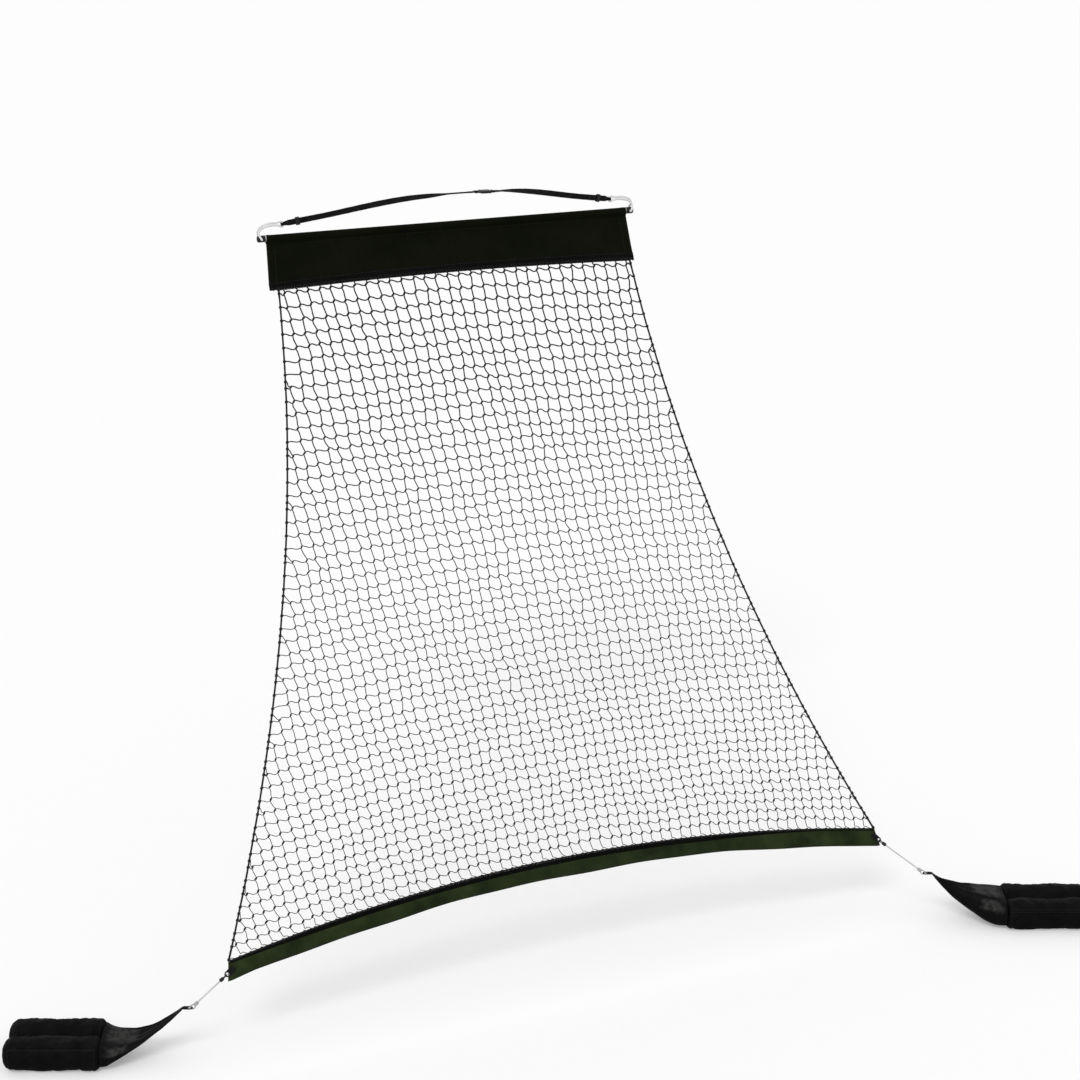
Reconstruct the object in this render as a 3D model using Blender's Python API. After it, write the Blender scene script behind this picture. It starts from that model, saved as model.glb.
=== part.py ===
"""Basketball return net: a strap over the rim's neck holds a crossbar, a banner and a wide net
that runs down and forward to two weight bags on the ground.

Metres, +Z up, +X to the right as the player sees it, -Y towards the player. The origin is the
middle of the strap's flat seat, where it lies on the neck of the rim.
"""

import math

import bmesh
import bpy
from mathutils import Matrix, Vector

# Gaps
TOUCH = 0.0003
OVERRUN = 0.004

# Hanging: how high the seat is, and where the crossbar hangs from it
SEAT_HEIGHT = 3.07
BAR_DROP = 0.17
BAR_BACK = 0.17

# Crossbar tubes
BAR_LENGTH = 1.65
CENTRE_TUBE_LENGTH = 0.56
TUBE_RADIUS = 0.0127
TUBE_WALL = 0.0016
SWAGE_LENGTH = 0.06
SWAGE_SLIP = 0.0003
SWAGE_TAPER = 0.008

# Snap buttons
BUTTON_RADIUS = 0.0032
BUTTON_SLIP = 0.0003
BUTTON_PROUD = 0.0024
BUTTON_ROOT = 0.0024
BUTTON_INSET = 0.030
SPRING_THICKNESS = 0.0008
SPRING_WIDTH = 0.007
SPRING_LENGTH = 0.034
SPRING_BEND = 0.0022

# End caps
CAP_RADIUS = 0.0145
CAP_LENGTH = 0.034
CAP_PLUG = 0.016
CAP_SLIP = 0.0003
CAP_DOME = 0.006

# Elastic loops between cap and strap
BUNGEE_RADIUS = 0.0045
BUNGEE_RISE = 0.058
BUNGEE_SLIP = 0.0008
BUNGEE_BULGE = 0.010
EYE_INSET = 0.078

# Webbing and its path
WEB_WIDTH = 0.025
WEB_THICKNESS = 0.0022
WEB_STITCH_GAP = 0.0002
SEAT_HALF = 0.050
BUCKLE_RUN = 0.125
BUCKLE_RUN_DROP = 0.006
BUCKLE_RUN_BACK = 0.010
TAIL_RUN = 0.137
TAIL_RUN_DROP = 0.026
TAIL_RUN_BACK = 0.038
TAIL_MARGIN = 0.012
EYE_WALL = 0.0024

# Side-release buckle, along the strap from the end of the seat
BUCKLE_BAR_RADIUS = 0.0024
BUCKLE_SLIP = 0.0004
TONGUE_BAR_AT = 0.014
TONGUE_PLATE_AT = 0.024
TONGUE_PLATE_LENGTH = 0.008
BUCKLE_SIDE_GAP = 0.0008
TONGUE_THICKNESS = 0.0062
FRAME_RAIL = 0.0032
GUIDE_WIDTH = 0.0056
GUIDE_LENGTH = 0.026
HOUSING_LENGTH = 0.048
HOUSING_MARGIN = 0.002
HOUSING_THICKNESS = 0.0105
HOUSING_WALL = 0.0018
HOUSING_CAVITY = 0.034
WINDOW_START = 0.010
WINDOW_LENGTH = 0.016
HOUSING_BAR_GAP = 0.0095
LATCH_LENGTH = 0.025
LATCH_WIDTH = 0.0045
LATCH_THICKNESS = 0.0052
LATCH_BARB = 0.013
LATCH_PROUD = 0.0012
LATCH_TRAVEL = 0.0045

# Strap sliders
SLIDER_AT = 0.066
SLIDER_LENGTH = 0.018
SLIDER_RIM = 0.004
SLIDER_SLIP = 0.0004

# Banner
BANNER_END_GAP = 0.004
BANNER_BOTTOM = 0.192
BANNER_LEAN = 0.110
BANNER_ARCH = 0.017
POCKET_SLACK = 0.0038
FABRIC = 0.0016
POCKET_TAIL = 0.009
SKIRT_THICKNESS = 0.0034

# Net
NET_END_INSET = 0.020
NET_DROP = 2.318
NET_REACH = 1.368
HEM_HALF = 1.460
HEM_TURN = 3.0
SIDE_BOW = 0.122
HEM_ARCH = 0.142
NET_SAG = 0.012
MESH = 0.055
MESHES_PER_CELL = 3
TWINE = 0.0046
NET_SIDE_GAP = 0.0014

# Ropes and hem
ROPE_RADIUS = 0.004
HEM_ROPE_RADIUS = 0.0035
HEM_HEIGHT = 0.072
HEM_THICKNESS = 0.0034

# Corner tabs, eyes and tethers
TAB_WIDTH = 0.024
TAB_THICKNESS = 0.0024
TAB_EYELET = 0.006
TAB_LIP = 0.006
HEM_TAB_LENGTH = 0.050
HEM_TAB_OUT = 0.014
BAG_TAB_LENGTH = 0.040
EYE_RADIUS = 0.0095
EYE_WIRE = 0.0023
BARREL_RADIUS = 0.0075
BARREL_LENGTH = 0.018
TETHER_RADIUS = 0.003

# Weight bags
TETHER_SPREAD = 0.170
TETHER_FORWARD = 0.103
BAG_TIP_HEIGHT = 0.224
BAG_TURN_LEFT = 20.0
BAG_TURN_RIGHT = 20.0
NECK_LENGTH = 0.320
NECK_TIP_HALF = 0.013
NECK_TIP_THICKNESS = 0.004
ROLL_LENGTH = 0.370
ROLL_RADIUS = 0.066
ROLL_SETTLE = 0.005
ROLL_FILLET = 0.026

# Counts
ROUND_SIDES = 32
ROLL_SIDES = 20
NECK_SIDES = 20

BAR_HALF = BAR_LENGTH / 2
BANNER_LENGTH = BAR_LENGTH - 2 * BANNER_END_GAP
POCKET_BORE = TUBE_RADIUS + POCKET_SLACK
TAIL_LENGTH = TAIL_RUN - TAIL_MARGIN
TONGUE_WIDTH = WEB_WIDTH + 2 * (FRAME_RAIL + BUCKLE_SIDE_GAP)
HOUSING_WIDTH = TONGUE_WIDTH + 2 * HOUSING_MARGIN
CENTRE_HALF = CENTRE_TUBE_LENGTH / 2
TUBE_BORE = TUBE_RADIUS - TUBE_WALL
SWAGE_RADIUS = TUBE_BORE - SWAGE_SLIP
SWAGE_BORE = SWAGE_RADIUS - TUBE_WALL
GROUND = -SEAT_HEIGHT
BAR = Vector((0, BAR_BACK, -BAR_DROP))
UP = Vector((0, 0, 1))
DOWN = Vector((0, 0, -1))
RIGHT = Vector((1, 0, 0))
BACK = Vector((0, 1, 0))
SIDES = (("left", -1), ("right", 1))


def clear_scene():
    for old in list(bpy.data.objects):
        bpy.data.objects.remove(old)


def material(name, colour, roughness, metallic=0):
    made = bpy.data.materials.new(name)
    made.use_nodes = True
    shader = made.node_tree.nodes["Principled BSDF"]
    shader.inputs["Base Color"].default_value = (*colour, 1)
    shader.inputs["Roughness"].default_value = roughness
    shader.inputs["Metallic"].default_value = metallic
    return made


def frame_at(origin, along, side):
    """A matrix whose X runs along, Y runs near side, and Z completes the three."""
    x = Vector(along).normalized()
    z = x.cross(Vector(side)).normalized()
    y = z.cross(x)
    turn = Matrix((x, y, z)).transposed().to_4x4()
    return Matrix.Translation(origin) @ turn


def add_mesh(name, points, faces, skin, at=None, smooth=35):
    """An object from local points, placed by a matrix, with its faces pointing out."""
    mesh = bpy.data.meshes.new(name)
    mesh.from_pydata([tuple(point) for point in points], [], faces)
    work = bmesh.new()
    work.from_mesh(mesh)
    bmesh.ops.recalc_face_normals(work, faces=work.faces)
    work.to_mesh(mesh)
    work.free()
    mesh.materials.append(skin)
    mesh.shade_smooth()
    mesh.set_sharp_from_angle(angle=math.radians(smooth))
    made = bpy.data.objects.new(name, mesh)
    bpy.context.scene.collection.objects.link(made)
    if at is not None:
        made.matrix_world = at
    return made


def hide(helper):
    helper.hide_render = True
    helper.display_type = "WIRE"
    return helper


def combine(target, helper, operation):
    """Cuts or joins a helper with a Boolean that stays on the target."""
    step = target.modifiers.new(operation.lower(), "BOOLEAN")
    step.operation = operation
    step.solver = "EXACT"
    step.object = hide(helper)
    return target


def loft(rings, closed=False):
    """Points and faces of a skin through rings of equal counts, capped unless it closes."""
    count = len(rings[0])
    points = [point for ring in rings for point in ring]
    faces = []
    spans = len(rings) if closed else len(rings) - 1
    for span in range(spans):
        start = span * count
        after = (span + 1) % len(rings) * count
        for side in range(count):
            step = (side + 1) % count
            faces.append((start + side, start + step, after + step, after + side))
    if not closed:
        faces.append(tuple(range(count)))
        faces.append(tuple(range(len(points) - count, len(points))))
    return points, faces


def circle(x, radius, count=ROUND_SIDES):
    turn = 2 * math.pi / count
    return [
        Vector((x, radius * math.cos(turn * i), radius * math.sin(turn * i)))
        for i in range(count)
    ]


def turned_ring(profile, count=ROUND_SIDES):
    """A hollow turned shape: the profile is a closed loop of (x, radius)."""
    return loft([circle(x, radius, count) for x, radius in profile], closed=True)


def turned_bar(profile, count=ROUND_SIDES):
    """A solid turned shape from one end of the profile to the other."""
    return loft([circle(x, radius, count) for x, radius in profile])


def box(low, high):
    """Points and faces of a box between two corners."""
    rings = [
        [
            Vector((x, low[1], low[2])),
            Vector((x, high[1], low[2])),
            Vector((x, high[1], high[2])),
            Vector((x, low[1], high[2])),
        ]
        for x in (low[0], high[0])
    ]
    return loft(rings)


def bevelled(made, width, segments=2):
    step = made.modifiers.new("edges", "BEVEL")
    step.width = width
    step.segments = segments
    step.limit_method = "ANGLE"
    return made


def slab(rows, thickness, normals):
    """A closed sheet over a grid of points, half its thickness to each side."""
    half = thickness / 2
    columns = len(rows[0])
    rings = []
    for row, row_normals in zip(rows, normals):
        front = [p + n * half for p, n in zip(row, row_normals)]
        rear = [p - n * half for p, n in zip(row, row_normals)]
        rings.append(front + rear[::-1])
    points, faces = loft(rings)
    faces = faces[:-2]
    for start in (0, len(points) - 2 * columns):
        for i in range(columns - 1):
            far = 2 * columns - 1
            faces.append((start + i, start + i + 1, start + far - i - 1, start + far - i))
    return points, faces


def smooth_route(knots, count, closed=False):
    """Evenly spaced points on a smooth curve through the knots."""
    knots = [Vector(knot) for knot in knots]
    if closed:
        knots = [knots[-1]] + knots + [knots[0], knots[1]]
    else:
        knots = [knots[0] * 2 - knots[1]] + knots + [knots[-1] * 2 - knots[-2]]
    spans = [(b - a).length for a, b in zip(knots, knots[1:])]
    fine = []
    for i in range(1, len(knots) - 2):
        before, here, after = spans[i - 1], spans[i], spans[i + 1]
        leave = knots[i] - knots[i - 1]
        across = knots[i + 1] - knots[i]
        arrive = knots[i + 2] - knots[i + 1]
        pull_out = (leave * here / before + across * before / here) / (before + here)
        pull_in = (across * after / here + arrive * here / after) / (here + after)
        for k in range(24):
            s = k / 24
            fine.append(
                knots[i] * (2 * s**3 - 3 * s**2 + 1)
                + pull_out * here * (s**3 - 2 * s**2 + s)
                + knots[i + 1] * (3 * s**2 - 2 * s**3)
                + pull_in * here * (s**3 - s**2)
            )
    fine.append(knots[-2])
    run = [0]
    for a, b in zip(fine, fine[1:]):
        run.append(run[-1] + (b - a).length)
    found = []
    k = 0
    for step in range(count if closed else count + 1):
        at = run[-1] * step / count
        while k < len(run) - 2 and run[k + 1] < at:
            k += 1
        found.append(fine[k].lerp(fine[k + 1], (at - run[k]) / (run[k + 1] - run[k])))
    return found


def cord(name, route, radius, skin, closed=False, resolution=2):
    """A round cord along points, as a curve with a bevel and filled ends."""
    data = bpy.data.curves.new(name, "CURVE")
    data.dimensions = "3D"
    data.bevel_depth = radius
    data.bevel_resolution = resolution
    data.use_fill_caps = True
    line = data.splines.new("POLY")
    line.points.add(len(route) - 1)
    for knot, place in zip(line.points, route):
        knot.co = (*place, 1)
    line.use_cyclic_u = closed
    data.materials.append(skin)
    made = bpy.data.objects.new(name, data)
    bpy.context.scene.collection.objects.link(made)
    return made


def group_empty(name, at=None):
    made = bpy.data.objects.new(name, None)
    bpy.context.scene.collection.objects.link(made)
    if at is not None:
        made.matrix_world = at
    return made


def keep_under(parent, made):
    """Parents an object without moving it."""
    bpy.context.view_layer.update()
    made.parent = parent
    made.matrix_parent_inverse = parent.matrix_world.inverted()
    return made


# Crossbar


def bar_frame(sign):
    """On the crossbar's axis, with X outwards to one side."""
    return frame_at(BAR, RIGHT * sign, BACK * sign)


def button_cutter(name, sign):
    """A pin through the lower walls at a snap button."""
    profile = [
        (0, BUTTON_RADIUS + BUTTON_SLIP),
        (TUBE_RADIUS + OVERRUN, BUTTON_RADIUS + BUTTON_SLIP),
    ]
    points, faces = turned_bar(profile)
    return add_mesh(name, points, faces, SKINS["steel"], button_frame(sign))


def button_frame(sign):
    """On the button's axis at the crossbar's axis, with X down along the button."""
    place = BAR + RIGHT * sign * (CENTRE_HALF - BUTTON_INSET)
    return frame_at(place, DOWN, BACK)


def make_crossbar():
    middle = [
        (-CENTRE_HALF, TUBE_RADIUS),
        (CENTRE_HALF, TUBE_RADIUS),
        (CENTRE_HALF, TUBE_BORE),
        (-CENTRE_HALF, TUBE_BORE),
    ]
    points, faces = turned_ring(middle)
    centre = add_mesh("crossbar_centre", points, faces, SKINS["tube"], bar_frame(1))
    for side, sign in SIDES:
        shoulder = CENTRE_HALF + TOUCH
        tip = CENTRE_HALF - SWAGE_LENGTH
        profile = [
            (BAR_HALF, TUBE_RADIUS),
            (shoulder, TUBE_RADIUS),
            (shoulder, SWAGE_RADIUS),
            (tip, SWAGE_RADIUS),
            (tip, SWAGE_BORE),
            (shoulder, SWAGE_BORE),
            (shoulder + SWAGE_TAPER, TUBE_BORE),
            (BAR_HALF, TUBE_BORE),
        ]
        points, faces = turned_ring(profile)
        name = "crossbar_" + side
        tube = add_mesh(name, points, faces, SKINS["tube"], bar_frame(sign))
        combine(tube, button_cutter("button_hole_inner_" + side, sign), "DIFFERENCE")
        combine(centre, button_cutter("button_hole_outer_" + side, sign), "DIFFERENCE")
        make_snap_button(side, sign)
        make_end_cap(side, sign)


def make_snap_button(side, sign):
    """A headed button through both walls, with the V spring that carries it."""
    root = SWAGE_BORE - BUTTON_ROOT
    crown = TUBE_RADIUS + BUTTON_PROUD
    rounding = BUTTON_RADIUS / 2
    profile = [
        (root, BUTTON_RADIUS),
        (crown - rounding, BUTTON_RADIUS),
        (crown - rounding / 3, BUTTON_RADIUS - rounding / 3),
        (crown, BUTTON_RADIUS - rounding),
    ]
    points, faces = turned_bar(profile, ROUND_SIDES // 2)
    add_mesh("snap_button_" + side, points, faces, SKINS["steel"], button_frame(sign))

    # The V opens away from the bar's end: one leg under the bore's roof, one on the button
    half = SPRING_WIDTH / 2
    roof = math.sqrt(SWAGE_BORE**2 - half**2) - TOUCH
    floor = root - TOUCH
    reach = SPRING_LENGTH / 2
    lower = [
        (-reach, floor),
        (reach - SPRING_BEND, floor),
        (reach, (floor - roof) / 2),
        (reach - SPRING_BEND, -roof),
        (-reach, -roof),
    ]
    inner = [
        (-reach, floor - SPRING_THICKNESS),
        (reach - SPRING_BEND - SPRING_THICKNESS, floor - SPRING_THICKNESS),
        (reach - SPRING_THICKNESS, (floor - roof) / 2),
        (reach - SPRING_BEND - SPRING_THICKNESS, SPRING_THICKNESS - roof),
        (-reach, SPRING_THICKNESS - roof),
    ]
    outline = lower + inner[::-1]
    rings = []
    for width in (-half, half):
        rings.append([Vector((drop, width, sign * along)) for along, drop in outline])
    points, faces = loft(rings)
    name = "button_spring_" + side
    add_mesh(name, points, faces, SKINS["steel"], button_frame(sign))


def make_end_cap(side, sign):
    """A cap with a plug in the tube and a cross hole for the elastic loop."""
    start = BAR_HALF + TOUCH
    end = start + CAP_LENGTH
    plug = TUBE_BORE - CAP_SLIP
    profile = [
        (start - CAP_PLUG, plug - TUBE_WALL),
        (start - CAP_PLUG + TUBE_WALL, plug),
        (start, plug),
        (start, CAP_RADIUS),
        (end - CAP_DOME, CAP_RADIUS),
        (end - CAP_DOME / 3, CAP_RADIUS - CAP_DOME / 4),
        (end, CAP_RADIUS - CAP_DOME),
    ]
    points, faces = turned_bar(profile)
    cap = add_mesh("end_cap_" + side, points, faces, SKINS["black_plastic"], bar_frame(sign))
    reach = CAP_RADIUS + OVERRUN
    hole = [(-reach, BUNGEE_RADIUS + TOUCH), (reach, BUNGEE_RADIUS + TOUCH)]
    points, faces = turned_bar(hole)
    place = bar_frame(sign) @ Vector((cap_hole_x(), 0, 0))
    across = frame_at(place, BACK, RIGHT)
    cutter = add_mesh("cap_hole_" + side, points, faces, SKINS["black_plastic"], across)
    combine(cap, cutter, "DIFFERENCE")


def cap_hole_x():
    """Distance of the cap's cross hole from the middle of the bar."""
    return BAR_HALF + TOUCH + CAP_LENGTH / 2


# Webbing


def strap_eye():
    """The right-hand strap eye's centre."""
    return BAR + Vector((BAR_HALF - EYE_INSET + TOUCH, 0, BUNGEE_RISE))


def strap_runs():
    """Corners of the right half of the strap's path: seat end, buckle end, tail start, eye."""
    level = WEB_THICKNESS / 2
    seat = Vector((SEAT_HALF, 0, level))
    buckled = seat + Vector((BUCKLE_RUN, BUCKLE_RUN_BACK, -BUCKLE_RUN_DROP))
    eye = strap_eye()
    tail = eye - Vector((TAIL_RUN, TAIL_RUN_BACK, -TAIL_RUN_DROP))
    return seat, buckled, tail, eye


def strap_direction(start, end):
    return (end - start).normalized()


def strap_eye_axis():
    """The axis of the right-hand strap eye, across the webbing's upright width."""
    _, _, tail, eye = strap_runs()
    last = strap_direction(tail, eye)
    across = (BACK - last * BACK.dot(last)).normalized()
    return last.cross(across)


def bowed_run(start, along, end, into, count):
    """Points of a smooth run that leaves one straight and meets the next."""
    pull = (end - start).length
    found = []
    for i in range(1, count):
        s = i / count
        a = 2 * s**3 - 3 * s**2 + 1
        b = s**3 - 2 * s**2 + s
        c = 3 * s**2 - 2 * s**3
        d = s**3 - s**2
        found.append(start * a + along * pull * b + end * c + into * pull * d)
    return found


def strap_stations(buckle_start):
    """(place, twist share, layers) along the right half, from the seat or the buckle out."""
    seat, buckled, tail, eye = strap_runs()
    first = strap_direction(seat, buckled)
    last = strap_direction(tail, eye)
    stations = []
    if buckle_start is None:
        stations.append((seat - RIGHT * SEAT_HALF, 0, 1))
        stations.append((seat, 0, 1))
    else:
        stations.append((seat + first * buckle_start, 0, 1))
    stations.append((buckled, 0, 1))
    run = bowed_run(buckled, first, tail, last, 18)
    for i, place in enumerate(run):
        stations.append((place, (i + 1) / 18, 1))
    stations.append((tail, 1, 1))
    fold = eye - last * TAIL_LENGTH
    stations.append((fold, 1, 1))
    stations.append((fold, 1, 2))
    inner = eye - last * (BUNGEE_RADIUS + BUNGEE_SLIP + WEB_THICKNESS / 3)
    stations.append((inner, 1, 2))
    return stations


def ribbon(stations, mirror):
    """A flat band through stations, which turns about its path by a quarter at share 1."""
    places = [place for place, _, _ in stations]
    rings = []
    for i, (place, share, layers) in enumerate(stations):
        ahead = next((p for p in places[i + 1 :] if (p - place).length > TOUCH), None)
        behind = next((p for p in places[:i][::-1] if (p - place).length > TOUCH), None)
        forward = (ahead - place).normalized() if ahead else (place - behind).normalized()
        back = (place - behind).normalized() if behind else forward
        along = (forward + back).normalized()
        side = (BACK - along * BACK.dot(along)).normalized()
        rise = along.cross(side)
        turn = share * math.pi / 2
        wide = side * math.cos(turn) + rise * math.sin(turn)
        thick = rise * math.cos(turn) - side * math.sin(turn)
        half = WEB_WIDTH / 2
        deep = WEB_THICKNESS * layers / 2 + (layers - 1) * WEB_STITCH_GAP / 2
        corners = [
            wide * half + thick * deep,
            wide * -half + thick * deep,
            wide * -half - thick * deep,
            wide * half - thick * deep,
        ]
        ring = [place + corner for corner in corners]
        rings.append([Vector((mirror * p.x, p.y, p.z)) for p in ring])
    return rings


def webbing_eye(name, centre, axis, bore, wall):
    """The turned-back loop of a strap, as a short open sleeve on an axis."""
    half = WEB_WIDTH / 2 - WEB_STITCH_GAP
    profile = [
        (-half, bore + wall),
        (half, bore + wall),
        (half, bore),
        (-half, bore),
    ]
    points, faces = turned_ring(profile, ROUND_SIDES // 2)
    across = RIGHT if abs(axis.dot(RIGHT)) < abs(axis.dot(UP)) else UP
    if abs(axis.dot(BACK)) > abs(axis.dot(UP)):
        across = RIGHT
    return add_mesh(name, points, faces, SKINS["webbing"], frame_at(centre, axis, across))


def mirrored(place, sign):
    return Vector((sign * place.x, place.y, place.z))


def make_strap():
    seat, buckled, tail, eye = strap_runs()
    first = strap_direction(seat, buckled)
    upright = strap_eye_axis()
    bar_bore = BUCKLE_BAR_RADIUS + BUCKLE_SLIP
    eye_bore = BUNGEE_RADIUS + BUNGEE_SLIP

    # Left: from its eye over the seat to the tongue's bar
    left = ribbon(strap_stations(None), -1)[::-1]
    to_tongue = TONGUE_BAR_AT - bar_bore - WEB_THICKNESS / 3
    ending = [(seat, 0, 1), (seat + first * to_tongue, 0, 1)]
    right_end = ribbon(ending, 1)
    turned = [[ring[1], ring[0], ring[3], ring[2]] for ring in right_end]
    points, faces = loft(join_rings(left, turned))
    strap = add_mesh("strap_left", points, faces, SKINS["webbing"], smooth=50)
    loop = webbing_eye("eye_left", mirrored(eye, -1), mirrored(upright, -1), eye_bore, EYE_WALL)
    combine(strap, loop, "UNION")
    bar_place = seat + first * TONGUE_BAR_AT
    side = (BACK - first * BACK.dot(first)).normalized()
    loop = webbing_eye("eye_tongue", bar_place, side, bar_bore, WEB_THICKNESS)
    combine(strap, loop, "UNION")

    # Right: from the housing's bar to its eye
    start = housing_bar_at() + bar_bore + WEB_THICKNESS / 3
    points, faces = loft(ribbon(strap_stations(start), 1))
    strap = add_mesh("strap_right", points, faces, SKINS["webbing"], smooth=50)
    combine(strap, webbing_eye("eye_right", eye, upright, eye_bore, EYE_WALL), "UNION")
    bar_place = seat + first * housing_bar_at()
    loop = webbing_eye("eye_housing", bar_place, side, bar_bore, WEB_THICKNESS)
    combine(strap, loop, "UNION")


def join_rings(first, second):
    """Two runs of rings end to end, matched corner to corner where they meet."""
    last = first[-1]
    order = [min(range(4), key=lambda k: (second[0][k] - corner).length) for corner in last]
    return first + [[ring[k] for k in order] for ring in second[1:]]


# Buckle


def housing_bar_at():
    """Distance of the housing's strap bar from the end of the seat."""
    housing_start = TONGUE_PLATE_AT + TONGUE_PLATE_LENGTH + TOUCH
    return housing_start + HOUSING_LENGTH + HOUSING_BAR_GAP


def buckle_frame(along=0):
    """On the strap's path beside the seat, X outwards, Y back."""
    seat, buckled, _, _ = strap_runs()
    first = strap_direction(seat, buckled)
    return frame_at(seat + first * along, first, BACK)


def cross_bar(name, at):
    half = TONGUE_WIDTH / 2 - FRAME_RAIL / 2
    profile = [(-half, BUCKLE_BAR_RADIUS), (half, BUCKLE_BAR_RADIUS)]
    points, faces = turned_bar(profile, ROUND_SIDES // 2)
    turn = buckle_frame(at) @ Matrix.Rotation(math.pi / 2, 4, "Z")
    return add_mesh(name, points, faces, SKINS["black_plastic"], turn)


def buckle_block(name, low, high, bevel=0):
    points, faces = box(low, high)
    made = add_mesh(name, points, faces, SKINS["black_plastic"], buckle_frame())
    if bevel:
        bevelled(made, bevel)
    return made


def make_buckle():
    make_tongue()
    make_housing()
    make_latches()


def make_tongue():
    """The plate with its strap bar and the centre guide that enters the housing."""
    half = TONGUE_WIDTH / 2
    deep = TONGUE_THICKNESS / 2
    plate_end = TONGUE_PLATE_AT + TONGUE_PLATE_LENGTH
    tongue = buckle_block(
        "buckle_tongue", (TONGUE_PLATE_AT, -half, -deep), (plate_end, half, deep)
    )
    start = TONGUE_BAR_AT - BUCKLE_BAR_RADIUS
    for label, sign in (("front", -1), ("rear", 1)):
        outer = half - BUCKLE_SLIP
        edges = sorted((sign * outer, sign * (outer - FRAME_RAIL)))
        low = (start, edges[0], -BUCKLE_BAR_RADIUS)
        high = (TONGUE_PLATE_AT + FRAME_RAIL / 2, edges[1], BUCKLE_BAR_RADIUS)
        combine(tongue, buckle_block("tongue_rail_" + label, low, high), "UNION")
    combine(tongue, cross_bar("tongue_bar", TONGUE_BAR_AT), "UNION")
    wide = GUIDE_WIDTH / 2
    flat = LATCH_THICKNESS / 2
    low = (plate_end - FRAME_RAIL / 2, -wide, -flat)
    high = (plate_end + GUIDE_LENGTH, wide, flat)
    combine(tongue, buckle_block("tongue_guide", low, high), "UNION")


def make_housing():
    """The socket: open at the tongue's side, with a window for each latch and a strap bar."""
    start = TONGUE_PLATE_AT + TONGUE_PLATE_LENGTH + TOUCH
    end = start + HOUSING_LENGTH
    half = HOUSING_WIDTH / 2
    deep = HOUSING_THICKNESS / 2
    housing = buckle_block(
        "buckle_housing", (start, -half, -deep), (end, half, deep), HOUSING_WALL / 2
    )
    wide = half - HOUSING_WALL
    flat = deep - HOUSING_WALL
    low = (start - OVERRUN, -wide, -flat)
    high = (start + HOUSING_CAVITY, wide, flat)
    combine(housing, buckle_block("housing_cavity", low, high), "DIFFERENCE")
    low = (start + WINDOW_START, -half - OVERRUN, -flat)
    high = (start + WINDOW_START + WINDOW_LENGTH, half + OVERRUN, flat)
    combine(housing, buckle_block("housing_windows", low, high), "DIFFERENCE")
    bar_half = TONGUE_WIDTH / 2
    far = housing_bar_at() + BUCKLE_BAR_RADIUS
    for label, sign in (("front", -1), ("rear", 1)):
        edges = sorted((sign * bar_half, sign * (bar_half - FRAME_RAIL)))
        low = (end - HOUSING_WALL, edges[0], -BUCKLE_BAR_RADIUS)
        high = (far, edges[1], BUCKLE_BAR_RADIUS)
        combine(housing, buckle_block("housing_rail_" + label, low, high), "UNION")
    combine(housing, cross_bar("housing_bar", housing_bar_at()), "UNION")


def make_latches():
    """Two squeeze arms beside the guide, each with a barb that fills its window."""
    plate_end = TONGUE_PLATE_AT + TONGUE_PLATE_LENGTH
    start = plate_end + TOUCH
    window = start + WINDOW_START + BUCKLE_SLIP
    inner = GUIDE_WIDTH / 2 + LATCH_TRAVEL + BUCKLE_SLIP
    outer = HOUSING_WIDTH / 2 + LATCH_PROUD
    arm = inner + LATCH_WIDTH
    flat = LATCH_THICKNESS / 2
    end = start + LATCH_LENGTH
    outline = [
        (start, inner),
        (start, arm),
        (window, arm),
        (window, outer - LATCH_PROUD),
        (window + LATCH_PROUD, outer),
        (window + LATCH_BARB - LATCH_WIDTH, outer),
        (end, arm + LATCH_PROUD),
        (end, inner + LATCH_PROUD),
        (end - LATCH_PROUD, inner),
    ]
    for label, sign in (("front", -1), ("rear", 1)):
        rings = [[Vector((u, sign * v, w)) for u, v in outline] for w in (-flat, flat)]
        points, faces = loft(rings)
        name = "buckle_latch_" + label
        add_mesh(name, points, faces, SKINS["black_plastic"], buckle_frame())


def make_sliders():
    """A rectangular keeper round the folded tail near each eye."""
    _, _, tail, eye = strap_runs()
    last = strap_direction(tail, eye)
    upright = strap_eye_axis()
    wide = WEB_WIDTH / 2 + SLIDER_SLIP
    deep = WEB_THICKNESS + WEB_STITCH_GAP / 2 + SLIDER_SLIP
    half = SLIDER_LENGTH / 2
    for side, sign in SIDES:
        place = mirrored(eye - last * SLIDER_AT, sign)
        along = mirrored(last, sign)
        at = frame_at(place, along, mirrored(upright, sign))
        rings = []
        for x, grow in ((-half, 1), (half, 1), (half, 0), (-half, 0)):
            y = wide + SLIDER_RIM * grow
            z = deep + SLIDER_RIM * grow * 2 / 3
            corners = ((y, z), (-y, z), (-y, -z), (y, -z))
            rings.append([Vector((x, a, b)) for a, b in corners])
        points, faces = loft(rings, closed=True)
        name = "strap_slider_" + side
        made = add_mesh(name, points, faces, SKINS["black_plastic"], at)
        bevelled(made, SLIDER_RIM / 5)


# Elastic loops

# Places on the loop's middle line from the cap's hole to the strap's eye, each as shares of the
# distance between them and of the rise, then the bulge, the strands' spread and their turn
BUNGEE_SHARES = (
    (0.000, 0.000, 0.00, 1.00, 0.00),
    (0.000, 0.220, 0.70, 0.85, 0.05),
    (-0.010, 0.480, 1.00, 0.15, 0.30),
    (0.120, 0.820, 0.80, 0.00, 0.55),
    (0.360, 1.020, 0.40, 0.00, 0.85),
    (0.600, 1.060, 0.00, 0.12, 1.00),
    (0.780, 1.040, 0.00, 0.65, 1.00),
    (0.890, 1.020, 0.00, 1.00, 1.00),
    (0.965, 1.000, 0.00, 1.02, 1.00),
)


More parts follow.
